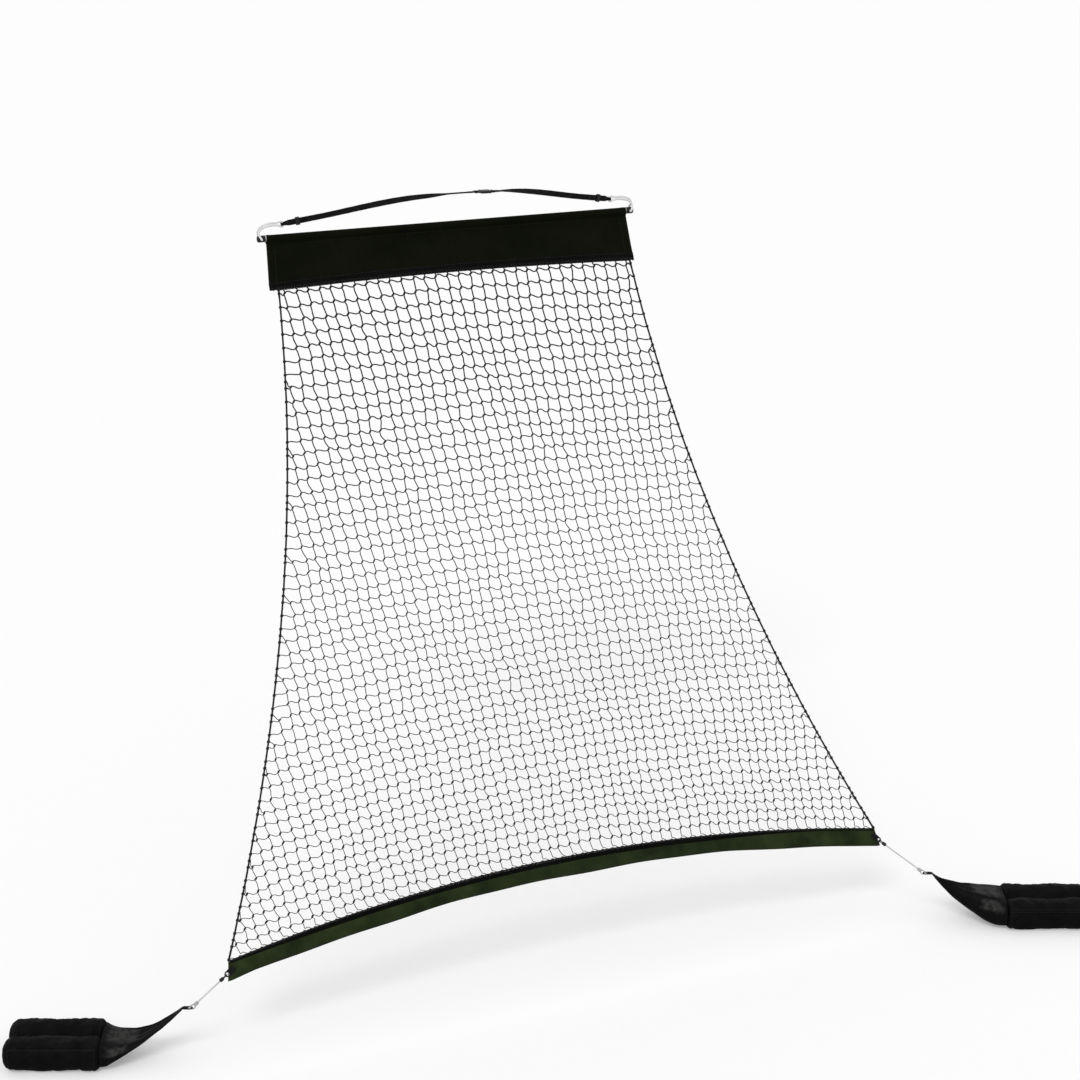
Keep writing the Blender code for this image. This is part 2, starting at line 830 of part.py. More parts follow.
def bungee_knots():
    """Knots of the right-hand closed loop, up one strand and back down the other."""
    hole = BAR + RIGHT * cap_hole_x()
    eye = strap_eye()
    span = hole.x - eye.x
    close = BUNGEE_RADIUS + BUNGEE_SLIP
    at_cap = CAP_RADIUS + BUNGEE_RADIUS + BUNGEE_SLIP
    at_eye = WEB_WIDTH / 2 + BUNGEE_RADIUS * 2
    upright = strap_eye_axis()
    up_strand = []
    down_strand = []
    for across_share, rise_share, bulge_share, spread_share, turn_share in BUNGEE_SHARES:
        x = hole.x - span * across_share + BUNGEE_BULGE * bulge_share
        z = hole.z + BUNGEE_RISE * rise_share
        wide = at_cap if turn_share < 1 / 2 else at_eye
        spread = close + (wide - close) * spread_share
        turn = turn_share * math.pi / 2
        offset = (BACK * math.cos(turn) + upright * math.sin(turn)) * spread
        middle = Vector((x, hole.y, z))
        up_strand.append(middle + offset)
        down_strand.append(middle - offset)
    out = upright * (WEB_WIDTH + BUNGEE_RADIUS) / 2
    inside_eye = [eye + out, eye + out / 2, eye, eye - out / 2, eye - out]
    inside_cap = [hole - BACK * CAP_RADIUS, hole, hole + BACK * CAP_RADIUS]
    return up_strand + inside_eye + down_strand[::-1] + inside_cap


def least_self_gap(route, radius, skip):
    """The least gap between stretches of a closed cord that aren't next to each other."""
    count = len(route)
    least = None
    for i in range(count):
        for j in range(i + skip, count):
            if count - (j - i) < skip:
                continue
            apart = (route[i] - route[j]).length
            if least is None or apart < least:
                least = apart
    return least - 2 * radius


def make_bungees():
    for side, sign in SIDES:
        knots = [mirrored(knot, sign) for knot in bungee_knots()]
        route = smooth_route(knots, 72, closed=True)
        gap = least_self_gap(route, BUNGEE_RADIUS, 10)
        print("bungee_" + side, "least gap to itself", round(gap, 5), "m")
        cord("bungee_" + side, route, BUNGEE_RADIUS, SKINS["elastic"], closed=True)


# Banner


def banner_way():
    """The direction in which the net's pull draws the banner down from the bar."""
    return (net_top() - BAR).normalized()


def pocket_centre():
    """The tunnel hangs on the bar: its bore touches the tube on the side away from the pull."""
    return BAR + banner_way() * (POCKET_BORE - TUBE_RADIUS - TOUCH)


def make_banner_pocket():
    """A sewn tunnel with a flat tail below it, along the whole banner."""
    centre = pocket_centre()
    count = ROUND_SIDES
    outer_radius = POCKET_BORE + FABRIC
    seam = SKIRT_THICKNESS / 2
    bottom = outer_radius + POCKET_TAIL
    inner = []
    outer = []
    for i in range(count):
        turn = 2 * math.pi * i / count - math.pi / 2
        y, z = math.cos(turn), math.sin(turn)
        inner.append((y * POCKET_BORE, z * POCKET_BORE))
        outer.append((y * outer_radius, z * outer_radius))
    # The lowest three points of the outside draw down into the tail
    low = count // 16
    outer[0] = (0, -bottom)
    outer[1] = (seam, -bottom)
    outer[-1] = (-seam, -bottom)
    for i in range(2, low + 2):
        share = (i - 1) / (low + 1)
        y = seam + (outer_radius * math.sin(2 * math.pi * (low + 2) / count) - seam) * share
        z = -bottom + POCKET_TAIL * share
        outer[i] = (y, z)
        outer[-i] = (-y, z)
    half = BANNER_LENGTH / 2
    way = banner_way()
    rear = RIGHT.cross(way)
    rings = []
    for x, loop in ((-half, outer), (half, outer), (half, inner), (-half, inner)):
        rings.append([centre + RIGHT * x + rear * y - way * z for y, z in loop])
    points, faces = loft(rings, closed=True)
    add_mesh("banner_pocket", points, faces, SKINS["banner"], smooth=50)


def skirt_top():
    centre = pocket_centre()
    return centre + banner_way() * (POCKET_BORE + FABRIC + POCKET_TAIL + TOUCH)


def net_top():
    """The middle of the net's upper edge, just below the banner."""
    return BAR - UP * BANNER_BOTTOM - BACK * BANNER_LEAN


def make_banner_skirt():
    """The cloth from the tunnel down to the netting, whose pull draws its lower edge up."""
    top = skirt_top()
    columns = row_columns(0)
    columns[0], columns[-1] = -BANNER_LENGTH / 2, BANNER_LENGTH / 2
    seam = net_fall().normalized() * (TWINE / 2 + TOUCH)
    bottoms = [net_place(x, 0) - seam for x in columns]
    rows = []
    normals = []
    for i in range(5):
        row = [top.lerp(bottom, i / 4) for bottom in bottoms]
        for x, place in zip(columns, row):
            place.x = x
        rows.append(row)
        normals.append([banner_way().cross(RIGHT)] * len(columns))
    points, faces = slab(rows, SKIRT_THICKNESS, normals)
    add_mesh("banner_skirt", points, faces, SKINS["banner"], smooth=50)


# Net


def half_width(down_share):
    """Half the net's width at a share of the way from the banner to the hem."""
    top = BANNER_LENGTH / 2 - NET_END_INSET
    bow = SIDE_BOW * 4 * down_share * (1 - down_share)
    return top + (HEM_HALF - top) * down_share - bow


def net_fall():
    """The straight way from the net's top edge to its hem at a corner."""
    return Vector((0, -NET_REACH, -NET_DROP))


def net_normal():
    """Square to the net, towards the player and up."""
    return net_fall().cross(RIGHT).normalized()


def hem_way():
    """Along the hem from left to right: it lies turned a little, right end away from the player."""
    return (RIGHT + BACK * math.tan(math.radians(HEM_TURN))).normalized()


def hem_normal():
    """Square to the hem, towards the player and up."""
    return net_fall().cross(hem_way()).normalized()


def net_place(x, down_share):
    """A place on the net's surface at distance x from the middle."""
    fall = net_fall()
    half = half_width(down_share)
    rise = HEM_ARCH * down_share**2 + BANNER_ARCH * (1 - down_share) ** 2
    arch = rise * (1 - (x / half) ** 2)
    sag = NET_SAG * 4 * down_share * (1 - down_share)
    turned = BACK * (x * down_share * hem_way().y / hem_way().x)
    place = net_top() + RIGHT * x + fall * down_share + turned
    return place - fall.normalized() * arch - net_normal() * sag


def net_rows():
    return round(net_fall().length / (MESH * MESHES_PER_CELL))


def edge_inset():
    """How far the netting's own edge strand lies inside the side rope's line."""
    return ROPE_RADIUS + TWINE / 2 + NET_SIDE_GAP


def row_columns(down_share):
    """X of each knot in a row: whole columns, ending on the slanting edge."""
    cell = MESH * MESHES_PER_CELL
    edge = half_width(down_share) - edge_inset()
    last = int((edge - cell * 2 / 5) / cell)
    return [-edge] + [cell * i for i in range(-last, last + 1)] + [edge]


def make_net():
    """Square netting cut along its sloping sides, with every third mesh of the real one."""
    count = net_rows()
    points = []
    rows = []
    for i in range(count + 1):
        down_share = i / count
        columns = row_columns(down_share)
        rows.append((columns, len(points)))
        points.extend(net_place(x, down_share) for x in columns)
    faces = []
    for (above, above_start), (below, below_start) in zip(rows, rows[1:]):
        upper = {round(x / MESH): above_start + k for k, x in enumerate(above[1:-1], 1)}
        lower = {round(x / MESH): below_start + k for k, x in enumerate(below[1:-1], 1)}
        shared = sorted(set(upper) & set(lower))
        for a, b in zip(shared, shared[1:]):
            faces.append((upper[a], upper[b], lower[b], lower[a]))
        for end, step in ((shared[0], -1), (shared[-1], 1)):
            edge_above = above_start + (0 if step < 0 else len(above) - 1)
            edge_below = below_start + (0 if step < 0 else len(below) - 1)
            over = [upper[k] for k in sorted(upper) if (k - end) * step > 0]
            under = [lower[k] for k in sorted(lower) if (k - end) * step > 0]
            if step < 0:
                over.reverse()
                under.reverse()
            loop = [upper[end]] + over + [edge_above, edge_below] + under[::-1] + [lower[end]]
            faces.append(tuple(loop))
    net = add_mesh("net", points, faces, SKINS["netting"])
    wires = net.modifiers.new("twine", "WIREFRAME")
    wires.thickness = TWINE
    wires.use_boundary = True
    wires.use_replace = True
    wires.use_even_offset = True
    print("net gaps", len(faces))


def make_edge_ropes():
    """Concave ropes down both sides of the netting, from the banner to the hem rope."""
    count = net_rows()
    for side, sign in SIDES:
        route = []
        for i in range(count + 1):
            down_share = i / count
            route.append(net_place(sign * half_width(down_share), down_share))
        route[0] = route[0] - UP * (ROPE_RADIUS - TWINE / 2)
        route[-1] = route[-1] - (route[-1] - route[-2]).normalized() * ROPE_RADIUS / 2
        cord("edge_rope_" + side, route, ROPE_RADIUS, SKINS["rope"], resolution=2)


# Hem


def hem_stations():
    """X of the hem's stations: those of the netting's last row, out to its corners."""
    inner = row_columns(1)[1:-1]
    edge = HEM_HALF + ROPE_RADIUS
    return [-edge, -half_width(1) + edge_inset()] + inner + [half_width(1) - edge_inset(), edge]


def hem_place(x, below):
    """A place on the hem, at a distance below the net's last row."""
    inside = max(-HEM_HALF, min(HEM_HALF, x))
    beyond = hem_way() * (x - inside) / hem_way().x
    return net_place(inside, 1) + beyond + net_fall().normalized() * below


def make_hem():
    rope_below = TWINE / 2 + TOUCH + HEM_ROPE_RADIUS
    route = [hem_place(x, rope_below) for x in hem_stations()]
    cord("hem_rope", route, HEM_ROPE_RADIUS, SKINS["rope"])
    top = rope_below + HEM_ROPE_RADIUS + TOUCH
    rows = []
    normals = []
    for i in range(5):
        below = top + HEM_HEIGHT * i / 4
        rows.append([hem_place(x, below) for x in hem_stations()])
        normals.append([hem_normal()] * len(rows[0]))
    points, faces = slab(rows, HEM_THICKNESS, normals)
    add_mesh("hem_band", points, faces, SKINS["hem"], smooth=50)


def hem_middle_below():
    """How far the middle of the hem band lies below the net's last row."""
    return TWINE / 2 + 2 * TOUCH + 2 * HEM_ROPE_RADIUS + HEM_HEIGHT / 2


# Tethers


def plate_outline(inner, outer, half):
    """A strip with one round end, from inner to outer, as many points as a circle."""
    radius = half
    middle = inner + radius
    count = ROUND_SIDES
    found = []
    for i in range(count):
        turn = 2 * math.pi * i / count
        x, y = math.cos(turn), math.sin(turn)
        if x < 0:
            found.append((middle + radius * x, radius * y))
        else:
            reach = outer - middle
            scale = max(abs(x) / reach, abs(y) / radius)
            found.append((middle + x / scale, y / scale))
    return found


def eyelet_tab(name, at, inner, outer, skin):
    """A webbing tab with a round eyelet at the frame's origin, thickness along its Z."""
    half = TAB_THICKNESS / 2
    outline = plate_outline(-inner, outer, TAB_WIDTH / 2)
    hole = [
        (
            TAB_EYELET * math.cos(2 * math.pi * i / ROUND_SIDES),
            TAB_EYELET * math.sin(2 * math.pi * i / ROUND_SIDES),
        )
        for i in range(ROUND_SIDES)
    ]
    rings = []
    for z, loop in ((-half, outline), (half, outline), (half, hole), (-half, hole)):
        rings.append([Vector((x, y, z)) for x, y in loop])
    points, faces = loft(rings, closed=True)
    return add_mesh(name, points, faces, skin, at)


def bag_tip(sign):
    corner = net_top() + net_fall()
    out = HEM_HALF + TETHER_SPREAD
    return Vector((sign * out, corner.y - TETHER_FORWARD, GROUND + BAG_TIP_HEIGHT))


def hem_corner(sign):
    """The middle of the hem band's end, on its front face."""
    edge = hem_place(sign * (HEM_HALF + ROPE_RADIUS), hem_middle_below())
    return edge + hem_normal() * (HEM_THICKNESS / 2 + TOUCH + TAB_THICKNESS / 2)


def hem_tab_way(sign):
    """The direction of a corner tab: towards its bag, in the plane of the hem."""
    away = bag_tip(sign) - hem_corner(sign)
    return (away - hem_normal() * away.dot(hem_normal())).normalized()


def hem_eyelet(sign):
    return hem_corner(sign) + hem_tab_way(sign) * HEM_TAB_OUT


def ring_centre(eyelet, way, normal):
    """Where a ring rests in an eyelet when it is pulled along the way: it goes as far as the four
    corners of the tab's lip let it."""
    flat = (way - normal * way.dot(normal)).normalized()
    reach = EYE_RADIUS - EYE_WIRE - TOUCH
    half = TAB_THICKNESS / 2
    corners = [
        eyelet + flat * out + normal * rise
        for out in (TAB_EYELET, TAB_EYELET + TAB_LIP)
        for rise in (-half, half)
    ]
    centre = sum(corners, Vector()) / len(corners) + way * reach
    for _ in range(80):
        for corner in corners:
            away = centre - corner
            if away.length > reach:
                centre = corner + away.normalized() * reach
    return centre


def make_eye_end(name, eyelet, way, normal):
    """A barrel with a round eye that hangs in a tab's eyelet, the barrel on the way's side."""
    centre = ring_centre(eyelet, way, normal)
    sideways = (normal - way * way.dot(normal)).normalized()
    count = 24
    rings = []
    for i in range(count):
        turn = 2 * math.pi * i / count
        out = way * math.cos(turn) + sideways * math.sin(turn)
        hub = centre + out * EYE_RADIUS
        ring = []
        for k in range(8):
            spin = 2 * math.pi * k / 8
            edge = out * math.cos(spin) + way.cross(sideways) * math.sin(spin)
            ring.append(hub + edge * EYE_WIRE)
        rings.append(ring)
    points, faces = loft(rings, closed=True)
    made = add_mesh(name, points, faces, SKINS["black_plastic"])
    start = EYE_RADIUS - EYE_WIRE / 3
    end = start + BARREL_LENGTH
    rounding = BARREL_RADIUS / 4
    profile = [
        (start, BARREL_RADIUS - rounding),
        (start + rounding, BARREL_RADIUS),
        (end - rounding, BARREL_RADIUS),
        (end, BARREL_RADIUS - rounding),
    ]
    points, faces = turned_bar(profile, ROUND_SIDES // 2)
    at = frame_at(centre, way, sideways)
    barrel = add_mesh(name + "_barrel", points, faces, SKINS["black_plastic"], at)
    combine(made, barrel, "UNION")
    return centre + way * (end + TOUCH)


def tether_way(sign):
    """The direction of the pull from the hem's eyelet to the bag's."""
    eyelet, tip = hem_eyelet(sign), bag_tip(sign)
    way = (tip - eyelet).normalized()
    for _ in range(5):
        top = ring_centre(eyelet, way, hem_normal())
        foot = ring_centre(tip, -way, UP)
        way = (foot - top).normalized()
    return way


def make_tethers():
    lip = TAB_EYELET + TAB_LIP
    for side, sign in SIDES:
        flat = hem_tab_way(sign)
        eyelet = hem_eyelet(sign)
        at = frame_at(eyelet, -flat, flat.cross(hem_normal()))
        seam = HEM_TAB_LENGTH - lip
        eyelet_tab("hem_tab_" + side, at, lip, seam, SKINS["webbing"])
        away = tether_way(sign)
        start = make_eye_end("tether_top_" + side, eyelet, away, hem_normal())
        end = make_eye_end("tether_foot_" + side, bag_tip(sign), -away, UP)
        route = [start.lerp(end, i / 16) for i in range(17)]
        cord("tether_" + side, route, TETHER_RADIUS, SKINS["elastic"])


# Weight bags

# The gathered neck, from its tip to the rolls: shares of its length, of the half width it gains,
# of the rolls' height under its upper face, and of the drop of its lower face
NECK_SHARES = (
    (0.000, 0.00, 0.000, 0.00),
    (0.080, 0.05, 0.010, 0.07),
    (0.220, 0.16, 0.030, 0.22),
    (0.400, 0.34, 0.060, 0.42),
    (0.580, 0.54, 0.100, 0.62),
    (0.740, 0.72, 0.190, 0.79),
    (0.860, 0.86, 0.420, 0.90),
    (0.950, 0.95, 0.800, 0.965),
    (1.000, 0.97, 0.900, 0.985),
)


def bag_frame(sign, turn):
    """At the tip's eyelet: X out along the bag, Z up."""
    heading = math.radians(180 - turn) if sign < 0 else math.radians(-turn)
    way = Vector((math.cos(heading), math.sin(heading), 0))
    return frame_at(bag_tip(sign), way, UP.cross(way))


def make_bags():
    for (side, sign), turn in zip(SIDES, (BAG_TURN_LEFT, BAG_TURN_RIGHT)):
        at = bag_frame(sign, turn)
        hub = group_empty("bag_swing_" + side, at)
        pieces = [
            eyelet_tab(
                "bag_tab_" + side,
                at,
                TAB_EYELET + TAB_LIP,
                BAG_TAB_LENGTH - TAB_EYELET - TAB_LIP,
                SKINS["webbing"],
            ),
            make_neck(side, at),
            make_roll("bag_roll_front_" + side, at, -sign),
            make_roll("bag_roll_rear_" + side, at, sign),
        ]
        for piece in pieces:
            keep_under(hub, piece)


def neck_start():
    return BAG_TAB_LENGTH - TAB_EYELET - TAB_LIP + TOUCH


def roll_start():
    return neck_start() + NECK_LENGTH + TOUCH


def roll_offset():
    """Each roll's axis lies this far to one side of the bag's middle."""
    return ROLL_RADIUS + TOUCH / 2


def make_neck(side, at):
    """The gathered cloth between the tab and the rolls, lifted at its tip."""
    rings = []
    floor = -BAG_TIP_HEIGHT + TOUCH
    roll_height = 2 * ROLL_RADIUS - ROLL_SETTLE
    full_half = 2 * roll_offset() - ROLL_FILLET / 2
    tip_half = NECK_TIP_THICKNESS / 2
    for length_share, width_share, top_share, low_share in NECK_SHARES:
        x = neck_start() + NECK_LENGTH * length_share
        wide = NECK_TIP_HALF + (full_half - NECK_TIP_HALF) * width_share
        low = -tip_half + (floor + tip_half) * low_share
        high = low + NECK_TIP_THICKNESS + (roll_height - ROLL_FILLET) * top_share
        ring = []
        for i in range(NECK_SIDES):
            turn = 2 * math.pi * i / NECK_SIDES
            y, z = math.cos(turn), math.sin(turn)
            y = math.copysign(abs(y) ** (2 / 3), y)
            z = math.copysign(abs(z) ** (2 / 3), z)
            middle = (low + high) / 2
            ring.append(Vector((x, wide * y, middle + (high - low) / 2 * z)))
        rings.append(ring)
    points, faces = loft(rings)
    return add_mesh("bag_neck_" + side, points, faces, SKINS["bag"], at, smooth=60)


def make_roll(name, at, hand):
    """A sand-filled roll, settled flat where it lies on the ground."""
    start = roll_start()
    stations = []
    for i in range(6):
        turn = math.pi / 2 * i / 5
        x = ROLL_FILLET * (1 - math.sin(turn))
        radius = ROLL_RADIUS - ROLL_FILLET * (1 - math.cos(turn))
        stations.append((x, radius))
    stations.sort()
    full = [(start + x, radius) for x, radius in stations]
    full += [(start + ROLL_LENGTH - x, radius) for x, radius in reversed(stations)]
    middle_height = -BAG_TIP_HEIGHT + ROLL_RADIUS - ROLL_SETTLE
    rings = []
    for x, radius in full:
        ring = []
        for point in circle(x, radius, ROLL_SIDES):
            z = max(middle_height + point.z, -BAG_TIP_HEIGHT)
            ring.append(Vector((x, hand * roll_offset() + point.y, z)))
        rings.append(ring)
    points, faces = loft(rings)
    return add_mesh(name, points, faces, SKINS["bag"], at, smooth=60)


def make_skins():
    return {
        "tube": material("painted tube", (0.72, 0.73, 0.74), 0.38, 0.2),
        "steel": material("zinc-plated steel", (0.62, 0.62, 0.60), 0.35, 1.0),
        "black_plastic": material("black plastic", (0.020, 0.020, 0.022), 0.42),
        "webbing": material("black webbing", (0.014, 0.014, 0.015), 0.80),
        "elastic": material("pale elastic cord", (0.62, 0.63, 0.60), 0.65),
        "banner": material("black banner cloth", (0.009, 0.011, 0.006), 0.75),
        "netting": material("black twine", (0.012, 0.012, 0.012), 0.80),
        "rope": material("black rope", (0.010, 0.010, 0.010), 0.80),
        "hem": material("dark green hem cloth", (0.014, 0.022, 0.010), 0.75),
        "bag": material("black bag cloth", (0.012, 0.012, 0.013), 0.62),
    }


clear_scene()
SKINS = make_skins()
make_crossbar()
make_strap()
make_buckle()
make_sliders()
make_bungees()
make_banner_pocket()
make_banner_skirt()
make_net()
make_edge_ropes()
make_hem()
make_tethers()
make_bags()
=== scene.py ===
"""The basketball return net, dressed: netting with its knots, cloth, webbing, ropes and bags.

Metres, +Z up, +X to the right as the player sees it, -Y towards the player.
"""

import math

import bpy
import numpy as np
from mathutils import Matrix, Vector, noise
from mathutils.bvhtree import BVHTree


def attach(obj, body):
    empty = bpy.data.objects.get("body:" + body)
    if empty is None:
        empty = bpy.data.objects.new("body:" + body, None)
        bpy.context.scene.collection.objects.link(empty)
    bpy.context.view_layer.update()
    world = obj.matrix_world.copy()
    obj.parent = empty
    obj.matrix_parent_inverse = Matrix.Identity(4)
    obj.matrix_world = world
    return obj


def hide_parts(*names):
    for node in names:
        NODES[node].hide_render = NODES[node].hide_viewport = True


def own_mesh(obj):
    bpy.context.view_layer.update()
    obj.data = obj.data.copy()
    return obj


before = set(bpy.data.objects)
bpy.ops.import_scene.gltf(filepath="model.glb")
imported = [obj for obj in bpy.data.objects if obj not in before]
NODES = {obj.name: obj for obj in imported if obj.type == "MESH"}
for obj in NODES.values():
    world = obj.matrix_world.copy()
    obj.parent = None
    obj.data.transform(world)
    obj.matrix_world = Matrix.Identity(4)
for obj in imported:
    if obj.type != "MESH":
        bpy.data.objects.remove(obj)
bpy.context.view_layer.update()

# Sizes that the pieces share with the solids they stand for
TOUCH = 0.0003
BAR_DROP = 0.17
BAR_BACK = 0.17
BAR_HALF = 0.825
TUBE_RADIUS = 0.0127
CAP_RADIUS = 0.0145
CAP_LENGTH = 0.034
BUNGEE_RADIUS = 0.0045
BUNGEE_RISE = 0.058
BUNGEE_SLIP = 0.0008
BUNGEE_BULGE = 0.010
EYE_INSET = 0.078
WEB_WIDTH = 0.025
WEB_THICKNESS = 0.0022
SEAT_HALF = 0.050
TAIL_LENGTH = 0.125
TONGUE_BAR_AT = 0.014
HOUSING_BAR_AT = 0.0898
BUCKLE_BAR_RADIUS = 0.0024
SLIP = 0.0004
BANNER_HALF = 0.821
BANNER_BOTTOM = 0.192
BANNER_LEAN = 0.110
NET_HALF = 0.801
POCKET_BORE = 0.0165
FABRIC = 0.0016
POCKET_TAIL = 0.009
NET_DROP = 2.318
NET_REACH = 1.368
HEM_HALF = 1.460
HEM_SLOPE = math.tan(math.radians(3.0))
SIDE_BOW = 0.122
HEM_ARCH = 0.142
BANNER_ARCH = 0.017
NET_SAG = 0.012
ROPE_RADIUS = 0.004
HEM_ROPE_RADIUS = 0.0035
HEM_HEIGHT = 0.072
TWINE_HALF = 0.0023
TAB_WIDTH = 0.024
TAB_THICKNESS = 0.0024
TAB_EYELET = 0.006
TAB_LIP = 0.006
HEM_TAB_LENGTH = 0.050
HEM_TAB_OUT = 0.014
HEM_THICKNESS = 0.0034
BAG_TAB_LENGTH = 0.040
EYE_RADIUS = 0.0095
EYE_WIRE = 0.0023
BARREL_LENGTH = 0.018
TETHER_RADIUS = 0.003
GROUND = -3.07
TETHER_FORWARD = 0.103
BAG_TIP_HEIGHT = 0.224
BAG_TIP_OUT = 1.63
BAG_TURNS = {"left": 160.0, "right": -20.0}
NECK_LENGTH = 0.320
ROLL_LENGTH = 0.370
ROLL_RADIUS = 0.066
ROLL_SETTLE = 0.005
ROLL_FILLET = 0.026

# The netting as it really is: pitches at the banner and at the hem
COLUMN_TOP = 0.0520
COLUMN_HEM = 0.0456
HEAD_BELOW = 0.009
FIRST_ROW = 0.024
ROW_TOP = 0.0585
ROW_HEM = 0.0470
ROW_COUNT = 51
STRAND = 0.0019
KNOT_HALF = 0.0076
KNOT_THICK = 0.0027
HEAVIER = 0.62
HEM_TWINE_LIGHTER = 0.14
HEM_KNOTS_HEAVIER = 0.35

RIGHT, BACK, UP = np.eye(3)
SIDES = (("left", -1), ("right", 1))
DICE = np.random.default_rng(11)


def unit(v):
    v = np.asarray(v, float)
    return v / np.maximum(np.linalg.norm(v, axis=-1, keepdims=True), 1e-12)


def ease(t):
    t = np.clip(t, 0, 1)
    return t * t * (3 - 2 * t)


def wobble(places, scale, seed=0):
    """Smooth noise from -1 to 1 at each place."""
    flat = np.reshape(np.asarray(places, float), (-1, 3)) * scale + seed * 17.3
    return np.array([noise.noise(Vector(p)) for p in flat]).reshape(np.shape(places)[:-1])


def lengths(path):
    """How far along each point lies, on one path or on each of many."""
    steps = np.linalg.norm(np.diff(path, axis=-2), axis=-1)
    return np.concatenate([0 * steps[..., :1], np.cumsum(steps, axis=-1)], axis=-1)


def laid(base, *terms):
    """The base, moved along each way by an amount for each point."""
    for amount, way in terms:
        base = base + np.asarray(amount)[..., None] * way
    return base


def between(a, b, share):
    """Points at the shares of the way from a to b, or from each a to its b."""
    return a[..., None, :] * (1 - share)[:, None] + b[..., None, :] * share[:, None]


def wheel(a, b, turn):
    """Ways that turn from a towards b."""
    return a[..., None, :] * np.cos(turn)[:, None] + b[..., None, :] * np.sin(turn)[:, None]


def across(way):
    """The level way that lies across a way."""
    return unit(BACK - way * BACK.dot(way))


def circle(count):
    return 2 * np.pi * np.arange(count) / count


def squarer(turns, power):
    """Cosine and sine of a circle that is pressed towards a square."""
    return [np.sign(f) * np.abs(f) ** (2 / power) for f in (np.cos(turns), np.sin(turns))]


def sampled(where, run, values):
    """Columns of values, known at each run, read off where they are wanted."""
    return np.stack([np.interp(where, run, column) for column in values.T], axis=1)


def mirror(points, sign):
    return np.asarray(points) * np.array([sign, 1, 1])


def hermite(a, leave, b, arrive, s):
    return (
        a * (2 * s**3 - 3 * s**2 + 1)
        + leave * (s**3 - 2 * s**2 + s)
        + b * (3 * s**2 - 2 * s**3)
        + arrive * (s**3 - s**2)
    )


def route(knots, count, loop=False):
    """Evenly spaced points on a smooth curve through the knots."""
    knots = np.asarray(knots, float)
    if loop:
        ext = np.vstack([knots[-1], knots, knots[0], knots[1]])
    else:
        ext = np.vstack([2 * knots[0] - knots[1], knots, 2 * knots[-1] - knots[-2]])
    span = np.maximum(np.linalg.norm(np.diff(ext, axis=0), axis=1), 1e-9)
    fine = []
    s = np.linspace(0, 1, 24, endpoint=False)[:, None]
    for i in range(1, len(ext) - 2):
        a, b, c = span[i - 1 : i + 2]
        leave, ahead, arrive = np.diff(ext[i - 1 : i + 3], axis=0)
        out = (leave * b / a + ahead * a / b) / (a + b)
        into = (ahead * c / b + arrive * b / c) / (b + c)
        fine.append(hermite(ext[i], out * b, ext[i + 1], into * b, s))
    fine = np.vstack([*fine, ext[-2]])
    run = lengths(fine)
    at = np.linspace(0, run[-1], count, endpoint=not loop)
    return sampled(at, run, fine)


def linked(name, data):
    made = bpy.data.objects.new(name, data)
    bpy.context.scene.collection.objects.link(made)
    return made


def grid_quads(n, m, loop=False):
    """Rows, columns and corners of the faces between n rings of m points."""
    rows = np.arange(n if loop else n - 1)
    i, j = [a.ravel() for a in np.meshgrid(rows, np.arange(m), indexing="ij")]
    i1, j1 = (i + 1) % n, (j + 1) % m
    return i, j, np.stack([i * m + j, i * m + j1, i1 * m + j1, i1 * m + j], axis=1)


